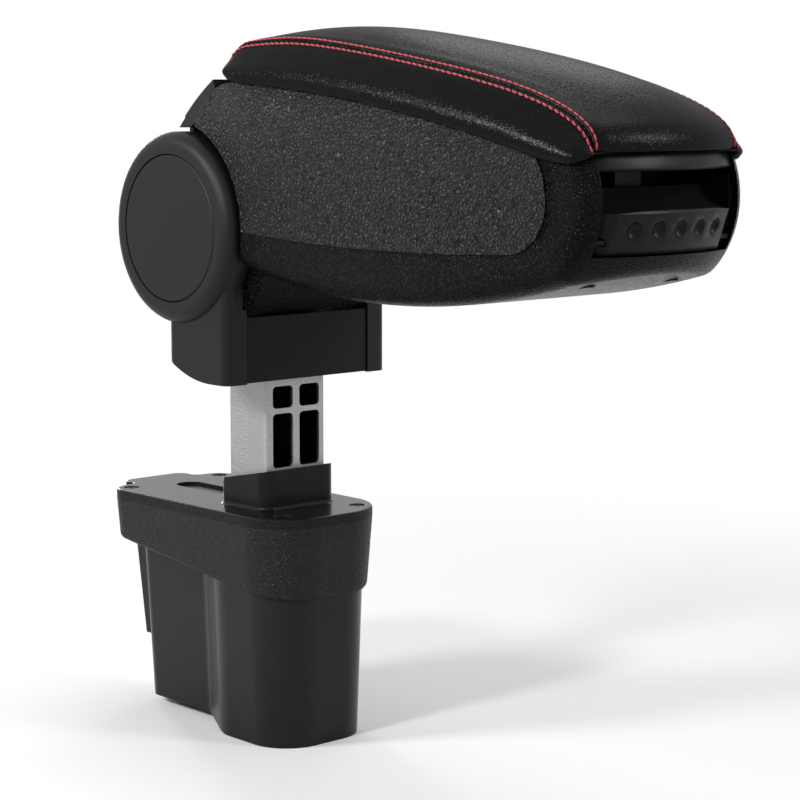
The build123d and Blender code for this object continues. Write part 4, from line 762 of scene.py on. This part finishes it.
# Floor: a pale matt sheet, round, that keeps the part's soft shadow and fades out into the white
# of the room round it.
floor_radius = 1.6
floor_corners = 96
fade_start, fade_end = 0.22, 0.75  # from the middle
floor_colour = (0.86, 0.86, 0.86)
mesh = bpy.data.meshes.new("floor")
turns = [2 * pi * k / floor_corners for k in range(floor_corners)]
rim = [(floor_radius * cos(turn), floor_radius * sin(turn), 0.0) for turn in turns]
mesh.from_pydata(rim, [], [tuple(range(floor_corners))])
floor = bpy.data.objects.new("floor", mesh)
bpy.context.scene.collection.objects.link(floor)
floor_pale = bpy.data.materials.new("floor_pale")
floor_pale.use_nodes = True
tree = floor_pale.node_tree
paint = tree.nodes["Principled BSDF"]
paint.inputs["Base Color"].default_value = (*floor_colour, 1.0)
paint.inputs["Roughness"].default_value = 0.9
where, _ = spot(tree)
away = node(tree, "VectorMath", None, {0: where}, operation="LENGTH").outputs["Value"]
clear = node(tree, "BsdfTransparent")
fading = node(
    tree, "MixShader", None,
    {
        0: ramp(tree, away, fade_start, fade_end),
        1: paint.outputs["BSDF"],
        2: clear.outputs["BSDF"],
    },
)
tree.links.new(fading.outputs[0], tree.nodes["Material Output"].inputs["Surface"])
floor.data.materials.append(floor_pale)

# Light: a white room that glossy surfaces mirror, a wide soft box overhead and five smaller ones.
# Two stand on the near side for the bolster and the grains, two at the rear, and one at the right
# for the front of the arm.
room_light = 0.25  # strength of the room as a light, against 1 where it is seen
world = bpy.data.worlds.new("white_room")
bpy.context.scene.world = world
world.use_nodes = True
tree = world.node_tree
room = tree.nodes["Background"]
room.inputs["Color"].default_value = (1.0, 1.0, 1.0, 1.0)
rays = node(tree, "LightPath").outputs
mirrored = sums(tree, "MAXIMUM", rays["Is Glossy Ray"], rays["Is Transmission Ray"])
seen = sums(tree, "MAXIMUM", rays["Is Camera Ray"], mirrored)
tree.links.new(ramp(tree, seen, 0.0, 1.0, room_light, 1.0), room.inputs["Strength"])


def soft_box(name, place, aim, size, power):
    """Rectangular lamp that looks at a point."""
    lamp = bpy.data.lights.new(name, "AREA")
    lamp.shape = "RECTANGLE"
    lamp.size, lamp.size_y = size
    lamp.energy = power
    made = bpy.data.objects.new(name, lamp)
    made.location = place
    made.rotation_euler = (Vector(aim) - Vector(place)).to_track_quat("-Z", "Y").to_euler()
    bpy.context.scene.collection.objects.link(made)


lamp_aim = (0.1, 0.0, 0.2)
soft_box("overhead", (0.0, 0.3, 1.4), lamp_aim, (0.9, 0.7), 5)
soft_box("left_front", (-0.42, -0.98, 0.75), lamp_aim, (0.26, 0.26), 8)
soft_box("near", (0.12, -0.98, 0.7), lamp_aim, (0.14, 0.14), 6)
soft_box("rear", (-0.5, 0.75, 0.8), lamp_aim, (0.34, 0.34), 0.9)
soft_box("rear_left", (-1.05, 0.4, 0.38), lamp_aim, (0.15, 0.4), 3)
soft_box("right", (1.05, 0.5, 0.8), lamp_aim, (0.3, 0.5), 5)

# Camera: at the photograph's angle and distance.  It is turned and widened a little, because the
# insert stands below the arm here.
photo_azimuth, photo_elevation = radians(46.1), radians(7.0)
photo_distance = 1.046
photo_centre = Vector((0.137, 0.0, 0.193))
photo_lens = 112.5
widen = 0.92
turn_left, turn_down = 0.0305, 0.0117  # of the point it looks at
flat = cos(photo_elevation)
back = Vector((sin(photo_azimuth) * flat, -cos(photo_azimuth) * flat, sin(photo_elevation)))
right = Vector((cos(photo_azimuth), sin(photo_azimuth), 0.0))
up = back.cross(right)
optics = bpy.data.cameras.new("camera")
optics.lens = photo_lens * widen
optics.sensor_width = 36.0
camera = bpy.data.objects.new("camera", optics)
camera.location = photo_centre + back * photo_distance
aim = photo_centre - right * turn_left - up * turn_down
camera.rotation_mode = "QUATERNION"
camera.rotation_quaternion = (aim - camera.location).to_track_quat("-Z", "Y")
bpy.context.scene.collection.objects.link(camera)
bpy.context.scene.camera = camera
bpy.context.scene.view_settings.view_transform = "Standard"
